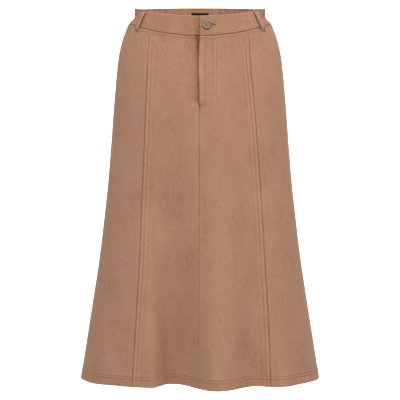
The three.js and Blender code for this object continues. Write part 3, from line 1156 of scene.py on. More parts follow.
@dataclass
class Gore:
    """A gore: a wedge of cloth from the waist seam to the hem, between two seams.

    stitched names the seams whose allowances are pressed under this gore and topstitched through it, and
    stitch_in is how far inside them the row runs. At the waist only a share of the seams' relief and
    painted light and shade shows, shown_at_waist, and all of it from shown_below down.
    """

    name: str
    start: Seam
    end: Seam
    stitched: tuple[Seam, ...] = ()
    columns: int = 74
    rows_long: float = 740.0
    thickness: float = 1.1
    edge_radius: float = 0.55
    turn_up: float = 24.0
    hem_rows: tuple[float, float] = (15.0, 21.0)
    allowance: float = 15.0
    stitch_in: float = 8.4
    waist_stitch: float = 6.0
    shown_at_waist: float = 0.12
    shown_below: float = 55.0
    layer_fade: float = 0.8
    pull_start: float = 3.0
    pull_reach: float = 9.0
    hem_pull: Ridge = Ridge(18.0, 12.0, 0.6)
    waist_pull: Ridge = Ridge(4.0, 8.0, 0.4)

    def shares_down(self) -> Array:
        """Places of the rows as shares of the way down, closer together at the waist and the hem.

        Returns:
            The shares, from 0 to 1.
        """
        waist = [0, 0.5, 1.2, 2.2, 3.4, 4.6, 5.4, 6.0, 6.6, 7.6, 9.2, 11.4]
        middle = np.linspace(14.5, 708, 178)
        hem = np.linspace(709.6, self.rows_long, 26)
        return np.concatenate([waist, middle, hem]) / self.rows_long

    def angles(self, form: Form, v: Array, s: Array) -> Array:
        """Ring angles of the grid.

        Args:
            form: the form.
            v: shares of the way down, as a column.
            s: shares of the way across, as a row.

        Returns:
            The angles, rows by columns.
        """
        first, last = form.seam_angle(self.start, NEAR_WAIST), form.seam_angle(self.end, NEAR_WAIST)
        last = last + math.tau if last < first else last
        guess = lerp(form.waist_seam(lerp(first, last, s)), form.hem, v)
        begin, end = form.seam_angle(self.start, guess), form.seam_angle(self.end, guess)
        return lerp(begin, np.where(end < begin, end + math.tau, end), s)

    def seam_look(self, seam: Seam) -> EdgeLook:
        """How one of the gore's seams shapes the cloth beside it, and the light and shade painted on it.

        Args:
            seam: the gore's start or its end.

        Returns:
            The look, for distances from the seam.
        """
        if seam in self.stitched:
            # Painted shade in the seam's groove, along the stitched row and past the allowance; painted
            # highlight on the raised cloth between.
            return EdgeLook(
                layers=(Step(self.stitch_in, 2.5, 0.5, 2.5), Step(self.allowance, 3.0, 0.4, 2.5)),
                relief=(Ridge(0.0, 1.2, -0.6), Ridge(self.stitch_in, 1.1, -0.7)),
                painted_light_ridges=(Ridge(0.0, 1.2, -1.0), Ridge(4.4, 2.2, 0.75), Ridge(self.stitch_in, 1.0, -0.75),
                      Ridge(12.6, 2.0, 0.5), Ridge(self.allowance + 2, 2.0, -0.3)),
                pull=1.0)
        # Painted shade in the seam's groove, and a faint painted highlight beside it.
        at_fly = seam is Seam.CENTRE_FRONT
        return EdgeLook(
            layers=(Step(self.allowance, 3.0, 0.12),),
            relief=(Ridge(0.0, 1.2, -0.3 if at_fly else -0.6),),
            painted_light_ridges=(Ridge(0.0, 1.2, -0.35 if at_fly else -1.0), Ridge(4.0, 2.0, 0.25)),
            pull=0.35)

    def waist_look(self) -> EdgeLook:
        """How the waist seam shapes the cloth, for distances below it, with painted shade along the seam
        and its row, and a soft painted shade fading over 70 mm below.
        """
        return EdgeLook(
            layers=(Step(7.0, 4.0, 0.2),),
            relief=(Ridge(0.0, 1.2, -0.35), Ridge(self.waist_stitch, 1.0, -0.35)),
            shade=(Step(0.0, 70.0, -0.5),),
            painted_light_ridges=(Ridge(0.0, 1.1, -1.6), Ridge(self.waist_stitch, 0.9, -0.4)))

    def hem_look(self) -> EdgeLook:
        """How the turned hem and its rows shape the cloth, for distances above it: painted shade in the
        rows and above the turned edge, painted highlight beside the rows, and a lighter folded edge.
        """
        rows = self.hem_rows
        return EdgeLook(
            layers=(Step(self.turn_up, 2.2, 0.5),),
            relief=tuple(Ridge(row, 0.9, -0.5) for row in rows),
            painted_light_ridges=(Ridge(0.0, 1.5, 0.5), Ridge(self.turn_up + 1, 1.5, -0.25),
                  *(Ridge(row, 0.9, -0.7) for row in rows), *(Ridge(row + 2.6, 1.1, 0.35) for row in rows)))

    def shape(self, shell: Shell, v: Array) -> None:
        """Works the seams, edges and marks into the shell.

        Args:
            shell: the gore's shell.
            v: shares of the way down, as a column, for a gore that has more to shape.
        """
        from_start = arc_from_start(shell.points)
        from_end = from_start[:, -1:] - from_start
        nearest = np.minimum(from_start, from_end)
        below_waist = shell.form.waist_seam(shell.t) - shell.z
        above_hem = shell.z - shell.form.hem
        start, end = self.seam_look(self.start), self.seam_look(self.end)
        waist, hem = self.waist_look(), self.hem_look()
        shown = lerp(self.shown_at_waist, 1.0, soft_step(below_waist / self.shown_below))
        shell.out = (start.out(from_start) + end.out(from_end)) * shown
        shell.out = shell.out + waist.out(below_waist) + hem.out(above_hem)
        # Painted light and shade from the seams, the waist seam and the hem.
        shell.rubbed = (start.rubbed(from_start) + end.rubbed(from_end)) * shown
        shell.rubbed = shell.rubbed + waist.rubbed(below_waist) + hem.rubbed(above_hem)
        at_seams = lerp(1.0, turned_edge(nearest, self.edge_radius), shown)
        at_ends = turned_edge(np.minimum(below_waist, above_hem), self.edge_radius)
        shell.turned = np.minimum(at_seams, at_ends)
        under = np.maximum(within(nearest, self.allowance, self.layer_fade),
                           within(above_hem, self.turn_up, self.layer_fade))
        shell.behind = self.thickness * under * soft_step(nearest / 2) * soft_step(above_hem / 1.5)
        pulled = ridges(above_hem, [self.hem_pull]) + ridges(below_waist, [self.waist_pull])
        for look, distance in ((start, from_start), (end, from_end)):
            pulled = pulled + look.pull * bell(np.maximum(distance - self.pull_start, 0), self.pull_reach)
        shell.pucker = np.minimum(pulled, 1.0) * soft_step(nearest / 3)
        shell.drape = soft_step(nearest / 10) * soft_step(below_waist / 60)

    def cut(self, shell: Shell) -> Cut:
        """The gore as it is cut, with its allowances.

        Args:
            shell: the gore's shell.

        Returns:
            The cut, to the millimetre and the square centimetre.
        """
        widths = arc_from_start(shell.points)[:, -1] + 2 * self.allowance
        middle = shell.points[:, shell.points.shape[1] // 2]
        length = np.linalg.norm(np.diff(middle, axis=0), axis=-1).sum() + self.turn_up + self.allowance
        area = widths.mean() * length
        return Cut(round(float(widths.max())), round(float(length)), "hung", round(float(area), -2))

    def build(self, room: Workroom) -> bpy.types.Object:
        """Makes and seats the gore.

        Args:
            room: the workroom.

        Returns:
            The piece.
        """
        v, s = self.shares_down()[:, None], crowded(self.columns)[None, :]
        t = self.angles(room.form, v, s)
        z = lerp(room.form.waist_seam(t), room.form.hem, v)
        shell = Shell(self.name, room.form, t, z, self.thickness)
        self.shape(shell, v)
        made = room.cloth(shell)
        return seat(made, [self.name], self.cut(shell))

    def seam_line(self, form: Form, seam: Seam) -> Array:
        """The line of the topstitching beside one of the gore's seams.

        Args:
            form: the form.
            seam: the seam, the gore's start or its end.

        Returns:
            The line's points, one every 4 mm from 2 mm below the waist seam.
        """
        z = np.arange(form.waist_seam(form.seam_angle(seam, NEAR_WAIST)) - 2.0, form.hem + 1.5, -4.0)
        inward = self.stitch_in if seam is self.start else -self.stitch_in
        t = form.nudge(form.seam_angle(seam, z), z, inward)
        return form.face(t, z) + form.normal(t, z)


class FlyRow(NamedTuple):
    """A row of the fly's stitching: straight down, then curved in to the opening's end.

    inward is how far the straight stretch runs from the opening, end how far below the waist seam the row
    ends, and curve how tall its curved stretch is.
    """

    inward: float
    end: float
    curve: float


@dataclass
class FlyGore(Gore):
    """A centre front gore with its half of the lapped fly.

    On the wearer's left it laps over, with a turned edge. On the right it dips and runs on beneath.
    rows_full, rows_closed and rows_end are shares of the way down: where the lap starts to run out, where
    it is gone and where the opening's shape ends. layers_end and layers_fade are where the turned layers
    of the lap stop raising it.
    """

    over: bool = True
    lap: float = 8.0
    dip_start: float = 18.0
    dip_end: float = 4.0
    depth: float = 2.4
    rows_full: float = 0.179
    rows_closed: float = 0.189
    rows_end: float = 0.1985
    layers_end: float = 0.1825
    layers_fade: float = 0.02
    stitching: tuple[FlyRow, ...] = (FlyRow(37.5, 141.0, 42.0), FlyRow(29.5, 134.0, 36.0))
    # Painted shade in the rows' grooves and painted highlight beside them.
    row_look: EdgeLook = EdgeLook(relief=(Ridge(0.0, 1.2, -0.35),),
                                  painted_light_ridges=(Ridge(4.2, 2.2, 0.45), Ridge(0.0, 1.1, -0.7)))
    # Painted shade along the lap's edge and past its first layer, and painted highlight on its raised
    # layers.
    lap_look: EdgeLook = EdgeLook(
        layers=(Step(11.0, 4.0, 0.9), Step(30.0, 10.0, 0.35)),
        relief=(Ridge(0.0, 1.5, 1.0),),
        painted_light_ridges=(Ridge(6.0, 3.5, 0.35), Ridge(13.5, 1.8, -0.6), Ridge(0.4, 1.1, -1.9)))

    def opening(self, v: Array) -> Array:
        """How far the fly is open at a share of the way down: 1 above its end and 0 below."""
        return within(v, self.rows_closed, self.rows_end - self.rows_closed)

    def centre(self, form: Form, z: Array) -> Array:
        """Sideways place of the centre front seam at heights z."""
        return form.face(form.seam_angle(Seam.CENTRE_FRONT, z), z)[..., 0]

    def angles(self, form: Form, v: Array, s: Array) -> Array:
        """Ring angles of the grid, running on under the lap on the wearer's right.

        Args:
            form: the form.
            v: shares of the way down, as a column.
            s: shares of the way across, as a row.

        Returns:
            The angles, rows by columns.
        """
        if self.over:
            return super().angles(form, v, s)
        z = lerp(form.waist_seam(FRONT), form.hem, v)
        seam_z = lerp(form.waist_seam(form.seam_angle(self.start, NEAR_WAIST)), form.hem, v)
        closing = np.clip((v - self.rows_full) / (self.rows_closed - self.rows_full), 0, 1)
        edge = self.centre(form, z) + lerp(self.lap, 0.0, closing)
        return lerp(form.seam_angle(self.start, seam_z), form.angle_of_x(edge, z), s)

    def shape(self, shell: Shell, v: Array) -> None:
        """Works in the fly as well as the seams.

        Args:
            shell: the gore's shell.
            v: shares of the way down, as a column.
        """
        super().shape(shell, v)
        z = lerp(shell.form.waist_seam(FRONT), shell.form.hem, v)
        from_centre = shell.points[..., 0] - self.centre(shell.form, z)
        if self.over:
            self.shape_lap(shell, v, from_centre)
        else:
            self.shape_underlap(shell, v, from_centre)

    def shape_lap(self, shell: Shell, v: Array, from_centre: Array) -> None:
        """Raises the lapped edge over its turned layers, sinks the fly's stitched rows, and paints shade
        and highlight along both.

        Args:
            shell: the left gore's shell.
            v: shares of the way down, as a column.
            from_centre: sideways distance from the centre front.
        """
        opening = self.opening(v)
        layered = within(v, self.layers_end, self.layers_fade)
        shell.out = shell.out + steps(from_centre, self.lap_look.layers) * layered
        shell.out = shell.out + ridges(from_centre, self.lap_look.relief) * opening
        # Painted shade and highlight along the lap's edge, while the fly is open.
        shell.rubbed = shell.rubbed + self.lap_look.rubbed(from_centre) * opening
        down = shell.form.waist_seam(shell.t) - shell.z
        for row in self.stitching:
            turn = np.clip((down - row.end + row.curve) / row.curve, 0, 1)
            beyond = from_centre - row.inward * np.sqrt(1 - turn**2)
            # Painted shade and highlight along the row, faded near the waist.
            shell.rubbed = shell.rubbed + self.row_look.rubbed(beyond) * (turn < 1) * soft_step(down / 12)
            shell.out = shell.out + self.row_look.out(beyond) * (turn < 1)

    def shape_underlap(self, shell: Shell, v: Array, from_centre: Array) -> None:
        """Dips the right gore under the lap, and paints the lap's shadow on it, darkest at the lap's edge.

        Args:
            shell: the right gore's shell.
            v: shares of the way down, as a column.
            from_centre: sideways distance from the centre front, below 0 where the gore shows.
        """
        opening = self.opening(v)
        across = soft_step((from_centre + self.dip_start) / (self.dip_start - self.dip_end))
        shell.out = shell.out - self.depth * across * opening
        # Painted shadow of the lap: a broad soft shade, a stronger one near the waist, and a dark line at
        # the lap's edge.
        shade = 0.7 * soft_step((from_centre + 34) / 26)
        at_waist = 0.8 * within(v, 0.0, 0.09) * soft_step((from_centre + 13) / 10)
        line = 1.2 * soft_step((from_centre + 3.6) / 2.4)
        shell.rubbed = shell.rubbed - (shade + at_waist + line) * opening
        shell.turned = np.maximum(shell.turned, soft_step(from_centre / 3 + 2))

    def fly_line(self, form: Form, row: FlyRow) -> Array:
        """The line that a row of the fly's stitching follows.

        Args:
            form: the form.
            row: the row.

        Returns:
            The line's points.
        """
        straight = np.linspace(1.5, row.end - row.curve, 30)
        turn = np.linspace(0, math.pi / 2, 24)[1:]
        down = np.concatenate([straight, row.end - row.curve + row.curve * np.sin(turn)])
        curved = row.inward * np.cos(turn) + 1.5 * (1 - np.cos(turn))
        side = np.concatenate([np.full_like(straight, row.inward), curved])
        top = form.waist_seam(FRONT)
        z = top - down
        t = form.angle_of_x(self.centre(form, z) + side, z)
        z = z + form.waist_seam(t) - top
        return form.face(t, z) + form.normal(t, z)

    def bar_line(self, form: Form) -> Array:
        """The line of the bar at the fly's end, beside the centre front.

        Args:
            form: the form.

        Returns:
            The line's points.
        """
        z = form.waist_seam(FRONT) - np.linspace(137.5, 143.5, 8)
        t = form.angle_of_x(self.centre(form, z) + 2.2, z)
        return form.face(t, z) + form.normal(t, z)


@dataclass
class Skirt:
    """The eight gores and the stitching through them.

    waist_row is where the row under the front waistband starts and ends, as ring angles, and fly_clear is
    how far it stays from the middle of the front.
    """

    waist_row: tuple[float, float] = (-2.54, -0.6)
    fly_clear: float = 1.0
    gores: tuple[Gore, ...] = (
        Gore("front_side_right", Seam.SIDE_RIGHT, Seam.FRONT_RIGHT),
        FlyGore("front_centre_right", Seam.FRONT_RIGHT, Seam.CENTRE_FRONT, (Seam.FRONT_RIGHT,), over=False),
        FlyGore("front_centre_left", Seam.CENTRE_FRONT, Seam.FRONT_LEFT, (Seam.FRONT_LEFT,)),
        Gore("front_side_left", Seam.FRONT_LEFT, Seam.SIDE_LEFT),
        Gore("back_side_left", Seam.SIDE_LEFT, Seam.BACK_LEFT),
        Gore("back_centre_left", Seam.BACK_LEFT, Seam.CENTRE_BACK, (Seam.BACK_LEFT,)),
        Gore("back_centre_right", Seam.CENTRE_BACK, Seam.BACK_RIGHT, (Seam.BACK_RIGHT,)),
        Gore("back_side_right", Seam.BACK_RIGHT, Seam.SIDE_RIGHT),
    )

    def build(self, room: Workroom) -> dict[str, bpy.types.Object]:
        """Makes the gores and sews them.

        Args:
            room: the workroom.

        Returns:
            The gores by their CAD names.
        """
        made = {gore.name: gore.build(room) for gore in self.gores}
        self.sew_seams(room, made)
        self.sew_hem(room, made)
        self.sew_waist(room, made)
        self.sew_fly(room, made)
        return made

    def sew_seams(self, room: Workroom, made: dict[str, bpy.types.Object]) -> None:
        """Topstitches the princess seams.

        Args:
            room: the workroom.
            made: the gores.
        """
        for gore in self.gores:
            for seam in gore.stitched:
                line = gore.seam_line(room.form, seam)
                name = f"topstitch_{seam.value.replace(' ', '_')}"
                room.stitches.sew(name, [line], [made[gore.name]])

    def sew_hem(self, room: Workroom, made: dict[str, bpy.types.Object]) -> None:
        """Sews the hem with two rows all round.

        Args:
            room: the workroom.
            made: the gores.
        """
        t = np.linspace(-math.pi, math.pi, 900)
        lines = []
        for height in self.gores[0].hem_rows:
            z = np.full_like(t, room.form.hem + height)
            lines.append(room.form.face(t, z) + room.form.normal(t, z))
        room.stitches.sew("hem_stitches", lines, list(made.values()))

    def sew_waist(self, room: Workroom, made: dict[str, bpy.types.Object]) -> None:
        """Sews a row under the front waistband's seam, from side to side but for the centre front.

        Args:
            room: the workroom.
            made: the gores.
        """
        form = room.form
        t = np.linspace(*self.waist_row, 260)
        t = t[np.abs(form.face(t, form.waist_seam(t))[:, 0]) > self.fly_clear]
        z = form.waist_seam(t) - self.gores[0].waist_stitch
        line = form.face(t, z) + form.normal(t, z)
        right, left = line[line[:, 0] < 0], line[line[:, 0] > 0]
        front = [obj for name, obj in made.items() if name.startswith("front")]
        room.stitches.sew("waist_stitches", [right, left], front)

    def sew_fly(self, room: Workroom, made: dict[str, bpy.types.Object]) -> None:
        """Sews the fly's two curved rows and the bar at their end.

        Args:
            room: the workroom.
            made: the gores.
        """
        gore = next(gore for gore in self.gores if isinstance(gore, FlyGore) and gore.over)
        cloth = [made[gore.name]]
        room.stitches.sew("fly_stitches", [gore.fly_line(room.form, row) for row in gore.stitching], cloth)
        room.stitches.sew("fly_bar", [gore.bar_line(room.form)], cloth, StitchKind.SATIN, pitch=0.5,
                          length=2.4, thickness=0.55, lift=0.25)


# ---- Waistband --------------------------------------------------------------------------------------


class LoopRow(NamedTuple):
    """A place down a belt loop and how far it stands off there, as a share.

    z is minus the share of the loop's length, so that the rows are read like heights.
    """

    z: float
    off: float


LOOP_ROWS = (
    LoopRow(0.0, 0.0),
    LoopRow(-0.07, 0.0),
    LoopRow(-0.16, 0.62),
    LoopRow(-0.27, 1.0),
    LoopRow(-0.5, 1.0),
    LoopRow(-0.7, 1.0),
    LoopRow(-0.81, 0.62),
    LoopRow(-0.9, 0.0),
    LoopRow(-1.0, 0.0),
)


@dataclass
class BeltLoop:
    """A belt loop: a turned strip, tacked at the top edge and below the waist seam.

    It leans to the front at its top, and the joint of the waistband under it leans with it.
    """

    side: str
    at: float = math.radians(34.4)
    lean_top: float = 7.0
    lean_low: float = 0.5
    width: float = 10.5
    wall: float = 1.6
    stand: float = 2.0
    below_seam: float = 10.0
    stitch_at: float = 3.4
    length: float = 48.0
    foot_sunk: float = 0.85
    cut_length: float = 52.0

    @property
    def name(self) -> str:
        """The loop's CAD name."""
        return f"belt_loop_{self.side}"

    @property
    def angle(self) -> Array:
        """Ring angle of the loop, before it leans."""
        return np.array(-self.at if self.side == "left" else -math.pi + self.at)

    def line(self, form: Form, z: Array, aside: Array | float = 0.0) -> Array:
        """Ring angle of the loop's middle line.

        Args:
            form: the form.
            z: heights.
            aside: how far the line is moved, towards the wearer's left.

        Returns:
            The angle at each height.
        """
        top, low = form.top_edge(self.angle), form.waist_seam(self.angle) - self.below_seam
        lean = lerp(self.lean_top, self.lean_low, (top - z) / (top - low))
        return form.nudge(np.full_like(z, self.angle), z, aside + (-lean if self.side == "left" else lean))

    def place(self, form: Form, row: Array, side: Array) -> tuple[Array, Array]:
        """Ring angle and height of a place on the loop.

        Args:
            form: the form.
            row: share of the length.
            side: distance from the middle line.

        Returns:
            The angle and the height.
        """
        z = lerp(form.top_edge(self.angle) - 0.1, form.waist_seam(self.angle) - self.below_seam, row)
        z, side = np.broadcast_arrays(z, side)
        return self.line(form, z, side), z

    def stands(self, row: Array) -> Array:
        """How far the loop stands off the waistband at shares of its length."""
        return self.stand * np.clip(column_at(LOOP_ROWS, "off", -row), 0, 1)

    def build(self, room: Workroom) -> None:
        """Makes the loop and sews it.

        Args:
            room: the workroom.
        """
        row, side = crowded(44)[:, None], ((crowded(14) - 0.5) * self.width)[None, :]
        t, z = self.place(room.form, row, side)
        shell = Shell(self.name, room.form, t, z, self.wall)
        shell.out = BAND_PROUD + BAND_GAP + self.wall + self.stands(row)
        shell.out = shell.out - 0.35 * bell(np.abs(side) - self.stitch_at, 0.6)
        shell.out = shell.out - self.foot_sunk * soft_step((row - 0.86) / 0.1)
        reach = np.minimum(self.width / 2 - np.abs(side), np.minimum(row, 1 - row) * self.length)
        shell.turned = turned_edge(reach, self.wall / 2)
        shell.pucker, shell.drape = 0.25, 0.0
        made = room.cloth(shell)
        cut = Cut(self.width, self.cut_length, "folded")
        seat(made, [self.name], cut)
        self.sew(room, made)

    def sew(self, room: Workroom, made: bpy.types.Object) -> None:
        """Sews the loop's two edge rows and its two bars.

        Args:
            room: the workroom.
            made: the loop's cloth.
        """
        row = np.linspace(0.03, 0.97, 40)
        lines = []
        for side in (-self.stitch_at, self.stitch_at):
            t, z = self.place(room.form, row, np.full_like(row, side))
            stands = self.stands(row) + self.wall + 2
            lines.append(room.form.face(t, z) + room.form.normal(t, z) * stands[:, None])
        room.stitches.sew(f"{self.name}_edges", lines, [made], thickness=0.42, pitch=2.6, length=2.1)
        bars = []
        for place in (0.055, 0.94):
            side = np.linspace(-3.8, 3.8, 9)
            t, z = self.place(room.form, np.full_like(side, place), side)
            bars.append(room.form.face(t, z) + room.form.normal(t, z) * (self.wall + 2))
        room.stitches.sew(f"{self.name}_bars", bars, [made], StitchKind.SATIN, pitch=0.55, length=2.0,
                          thickness=0.6, lift=0.2)


class ElasticRow(NamedTuple):
    """A place down the elasticated band and how far out it stands there.

    z is minus the share of the way down, so that the rows are read like heights.
    """

    z: float
    out: float


ELASTIC_ROWS = (
    ElasticRow(0.0, -1.7),
    ElasticRow(-0.28, -6.0),
    ElasticRow(-0.53, -8.7),
    ElasticRow(-0.76, -5.0),
    ElasticRow(-1.0, -0.8),
)


def gather_tree() -> GeometryBook:
    """The tree that gathers the elasticated band.

    Returns:
        The tree, which reads the marks out, sweep, row and gather.
    """
    book = GeometryBook("elastic_gathers", Gathers=34.0, Depth=0.0013, Unevenness=0.55)
    sweep = Term(book, book.attribute("sweep")) * book.size("Gathers")
    row = Term(book, book.attribute("row"))
    place = book.node("ShaderNodeCombineXYZ", None, X=sweep, Y=row * 0.8, Z=3.7).outputs[0]
    wander = book.noise(place, 0.55, 2.0) - 0.5
    wave = book.maths("COSINE", (sweep + wander * book.size("Unevenness") * 2.0) * math.tau)
    fine = book.maths("COSINE", (sweep * 2.0 + wander * 1.7) * math.tau)
    height = (wave * 0.75 + fine * 0.2 + wander * 0.5) * book.size("Depth")
    offset = book.node("ShaderNodeVectorMath", {"operation": "SCALE"},
                       _0=book.attribute("out", "FLOAT_VECTOR"),
                       Scale=height * Term(book, book.attribute("gather")))
    moved = book.node("GeometryNodeSetPosition", None, Geometry=book.start.outputs["Geometry"],
                      Offset=offset.outputs[0])
    book.close(moved.outputs[0])
    return book


@dataclass
class Waistband:
    """The waistband: two flat front pieces that lap, and the elasticated back.

    underlap is how far the button end runs past the middle, and dip_start and dip_end are where it goes
    down behind the other end, right of the middle. fade and smooth_back are where the elastic's pull sets
    in beside the loops, as a turn of the ring, and where the gathers stop beside the label.
    """

    left_loop: BeltLoop = field(default_factory=lambda: BeltLoop("left"))
    right_loop: BeltLoop = field(default_factory=lambda: BeltLoop("right"))
    front_edge: float = -1.0
    underlap: float = 32.0
    dip_start: float = 20.0
    dip_end: float = 3.0
    gathers: float = 34.0
    fade: float = 0.35
    smooth_back: float = 30.0
    fold_radius: float = 1.3
    edge_radius: float = 0.8
    cut_depth: float = 48.0
    end_allowance: float = 10.0
    fullness: float = 1.2

    def height(self, form: Form, t: Array, w: Array) -> Array:
        """Height of a share w of the way down the band at ring angle t."""
        return lerp(form.top_edge(t), form.waist_seam(t) + BAND_GAP / 2, w)

    def joint(self, form: Form, loop: BeltLoop, w: Array, aside: float) -> Array:
        """Ring angle of the joint under a loop, a share w of the way down and moved aside."""
        return loop.line(form, self.height(form, loop.angle, w), aside)

    def piece(self, name: str, form: Form, t: Array, w: Array) -> Shell:
        """Starts a piece of the band on its grid.

        Args:
            name: the piece's CAD name.
            form: the form.
            t: the grid's ring angles.
            w: shares of the way down, as a column.

        Returns:
            The shell, rounded and marked for the relief, standing proud of the form.
        """
        shell = Shell(name, form, t, self.height(form, t, w), BAND_THICKNESS)
        ends = from_nearer_end(shell.points)
        depth = form.top_edge(t) - form.waist_seam(t)
        top, low = w * depth, (1 - w) * depth
        shell.out = BAND_PROUD
        shell.turned = np.minimum(turned_edge(top, self.fold_radius),
                                  turned_edge(np.minimum(low, ends), self.edge_radius))
        shell.pucker = 0.3 * soft_step(top / 3) * soft_step(low / 2)
        # The band is made darker all over, and painted shade darkens it along its lower seam.
        shell.rubbed = -0.8 - 0.5 * bell(low, 0.9)
        shell.drape = 0.35 * soft_step(ends / 20)
        return shell

    def cut(self, shell: Shell, allowance: float, fullness: float, held: str) -> Cut:
        """A piece of the band as it is cut.

        Args:
            shell: the piece's shell.
            allowance: what its ends add to its length.
            fullness: how many times as long it is cut as it is held.
            held: how it is held.

        Returns:
            The cut.
        """
        length = arc_from_start(shell.points)[:, -1].mean() + allowance
        return Cut(round(float(length) * fullness), self.cut_depth, held)

    def front_left(self, room: Workroom) -> None:
        """Makes the buttonhole end, from the centre front to the wearer's left loop.

        Args:
            room: the workroom.
        """
        form = room.form
        w, s = crowded(26)[:, None], crowded(110)[None, :]
        begin = form.angle_of_x(self.front_edge, self.height(form, np.array(FRONT), w))
        t = lerp(begin, self.joint(form, self.left_loop, w, -BAND_GAP / 2), s)
        shell = self.piece("waistband_front_left", form, t, w)
        made = room.cloth(shell)
        Buttoning().open_buttonhole(room, made)
        cut = self.cut(shell, self.end_allowance, 1.0, "stretched")
        seat(made, [shell.name], cut)

    def front_right(self, room: Workroom) -> None:
        """Makes the button end, from the wearer's right loop to its end under the other piece.

        Args:
            room: the workroom.
        """
        form = room.form
        w, s = crowded(26)[:, None], crowded(130)[None, :]
        end = form.angle_of_x(self.underlap, self.height(form, np.array(FRONT), w))
        t = lerp(self.joint(form, self.right_loop, w, BAND_GAP / 2), end, s)
        shell = self.piece("waistband_front_right", form, t, w)
        x = shell.points[..., 0]
        across = soft_step((x + self.dip_start) / (self.dip_start - self.dip_end))
        shell.out = shell.out - (BAND_THICKNESS + LAP_GAP) * across
        # Painted shadow of the buttonhole end, where it laps over this end.
        shell.rubbed = shell.rubbed - 0.85 * soft_step((x + 16) / 9)
        cut = self.cut(shell, self.end_allowance, 1.0, "stretched")
        seat(room.cloth(shell), [shell.name], cut)

    def elastic_out(self, w: Array) -> Array:
        """How far out the elasticated band stands a share w of the way down."""
        return column_at(ELASTIC_ROWS, "out", -np.asarray(w, float))

    def back(self, room: Workroom) -> None:
        """Makes the elasticated back, from loop to loop.

        Args:
            room: the workroom.
        """
        form = room.form
        w, s = crowded(24)[:, None], np.linspace(0, 1, 681)[None, :]
        begin = self.joint(form, self.left_loop, w, BAND_GAP / 2)
        end = self.joint(form, self.right_loop, w, -BAND_GAP / 2) + math.tau
        t = lerp(begin, end, s)
        shell = self.piece("waistband_back", form, t, w)
        from_loop = np.minimum(t + self.left_loop.at, math.pi + self.left_loop.at - t)
        fade = soft_step(from_loop / self.fade)
        shell.out = shell.out + fade * self.elastic_out(w)
        # Painted shade along the back band's top fold.
        shell.rubbed = shell.rubbed - 2.5 * bell(w * 40, 1.3)
        calm = soft_step(np.abs(shell.points[..., 0]) / self.smooth_back - 0.6)
        calm = np.where(np.sin(t) > 0, calm, 1.0)
        made = shell.build()
        marks = {"sweep": s, "row": w, "gather": fade * calm * lerp(0.45, 1.0, np.sin(math.pi * w))}
        for name, values in marks.items():
            attribute = made.data.attributes.new(name, "FLOAT", "POINT")
            spread = np.broadcast_to(values, t.shape).ravel()
            attribute.data.foreach_set("value", np.tile(spread, 2).astype(np.float32))
        gather_tree().run(made, room.finishes["suede"], Gathers=self.gathers)
        cut = self.cut(shell, 0.0, self.fullness, "gathered")
        seat(made, [shell.name], cut)

    def build(self, room: Workroom) -> None:
        """Makes the three pieces.

        Args:
            room: the workroom.
        """
        self.front_left(room)
        self.front_right(room)
        self.back(room)


# ---- Fastening --------------------------------------------------------------------------------------


def turned_solid(name: str, profile: Sequence[tuple[float, float]], frame_at: Matrix, sides: int = 72,
                 ) -> bpy.types.Object:
    """Turns a closed profile about an axis.

    Args:
        name: the object's name.
        profile: radius and height from the axis at the bottom to the axis at the top, in millimetres.
        frame_at: where the solid stands; its axis is the frame's Z.
        sides: facets round the axis.

    Returns:
        The object.
    """
    turns = np.arange(sides) * math.tau / sides
    rings = [(r, h) for r, h in profile if r > 0]
    points = [(r * math.cos(a) * METRE, r * math.sin(a) * METRE, h * METRE)
              for r, h in rings for a in turns]
    points += [(0, 0, profile[0][1] * METRE), (0, 0, profile[-1][1] * METRE)]
    low, high = len(points) - 2, len(points) - 1
    faces = []
    for i in range(sides):
        j = (i + 1) % sides
        faces.append((low, j, i))
        for k in range(len(rings) - 1):
            faces.append((k * sides + i, k * sides + j, (k + 1) * sides + j, (k + 1) * sides + i))
        last = (len(rings) - 1) * sides
        faces.append((last + i, last + j, high))
    mesh = bpy.data.meshes.new(name)
    mesh.from_pydata(points, [], faces)
    mesh.transform(frame_at)
    mesh.polygons.foreach_set("use_smooth", np.ones(len(mesh.polygons), bool))
    mesh.update()
    return link(name, mesh)


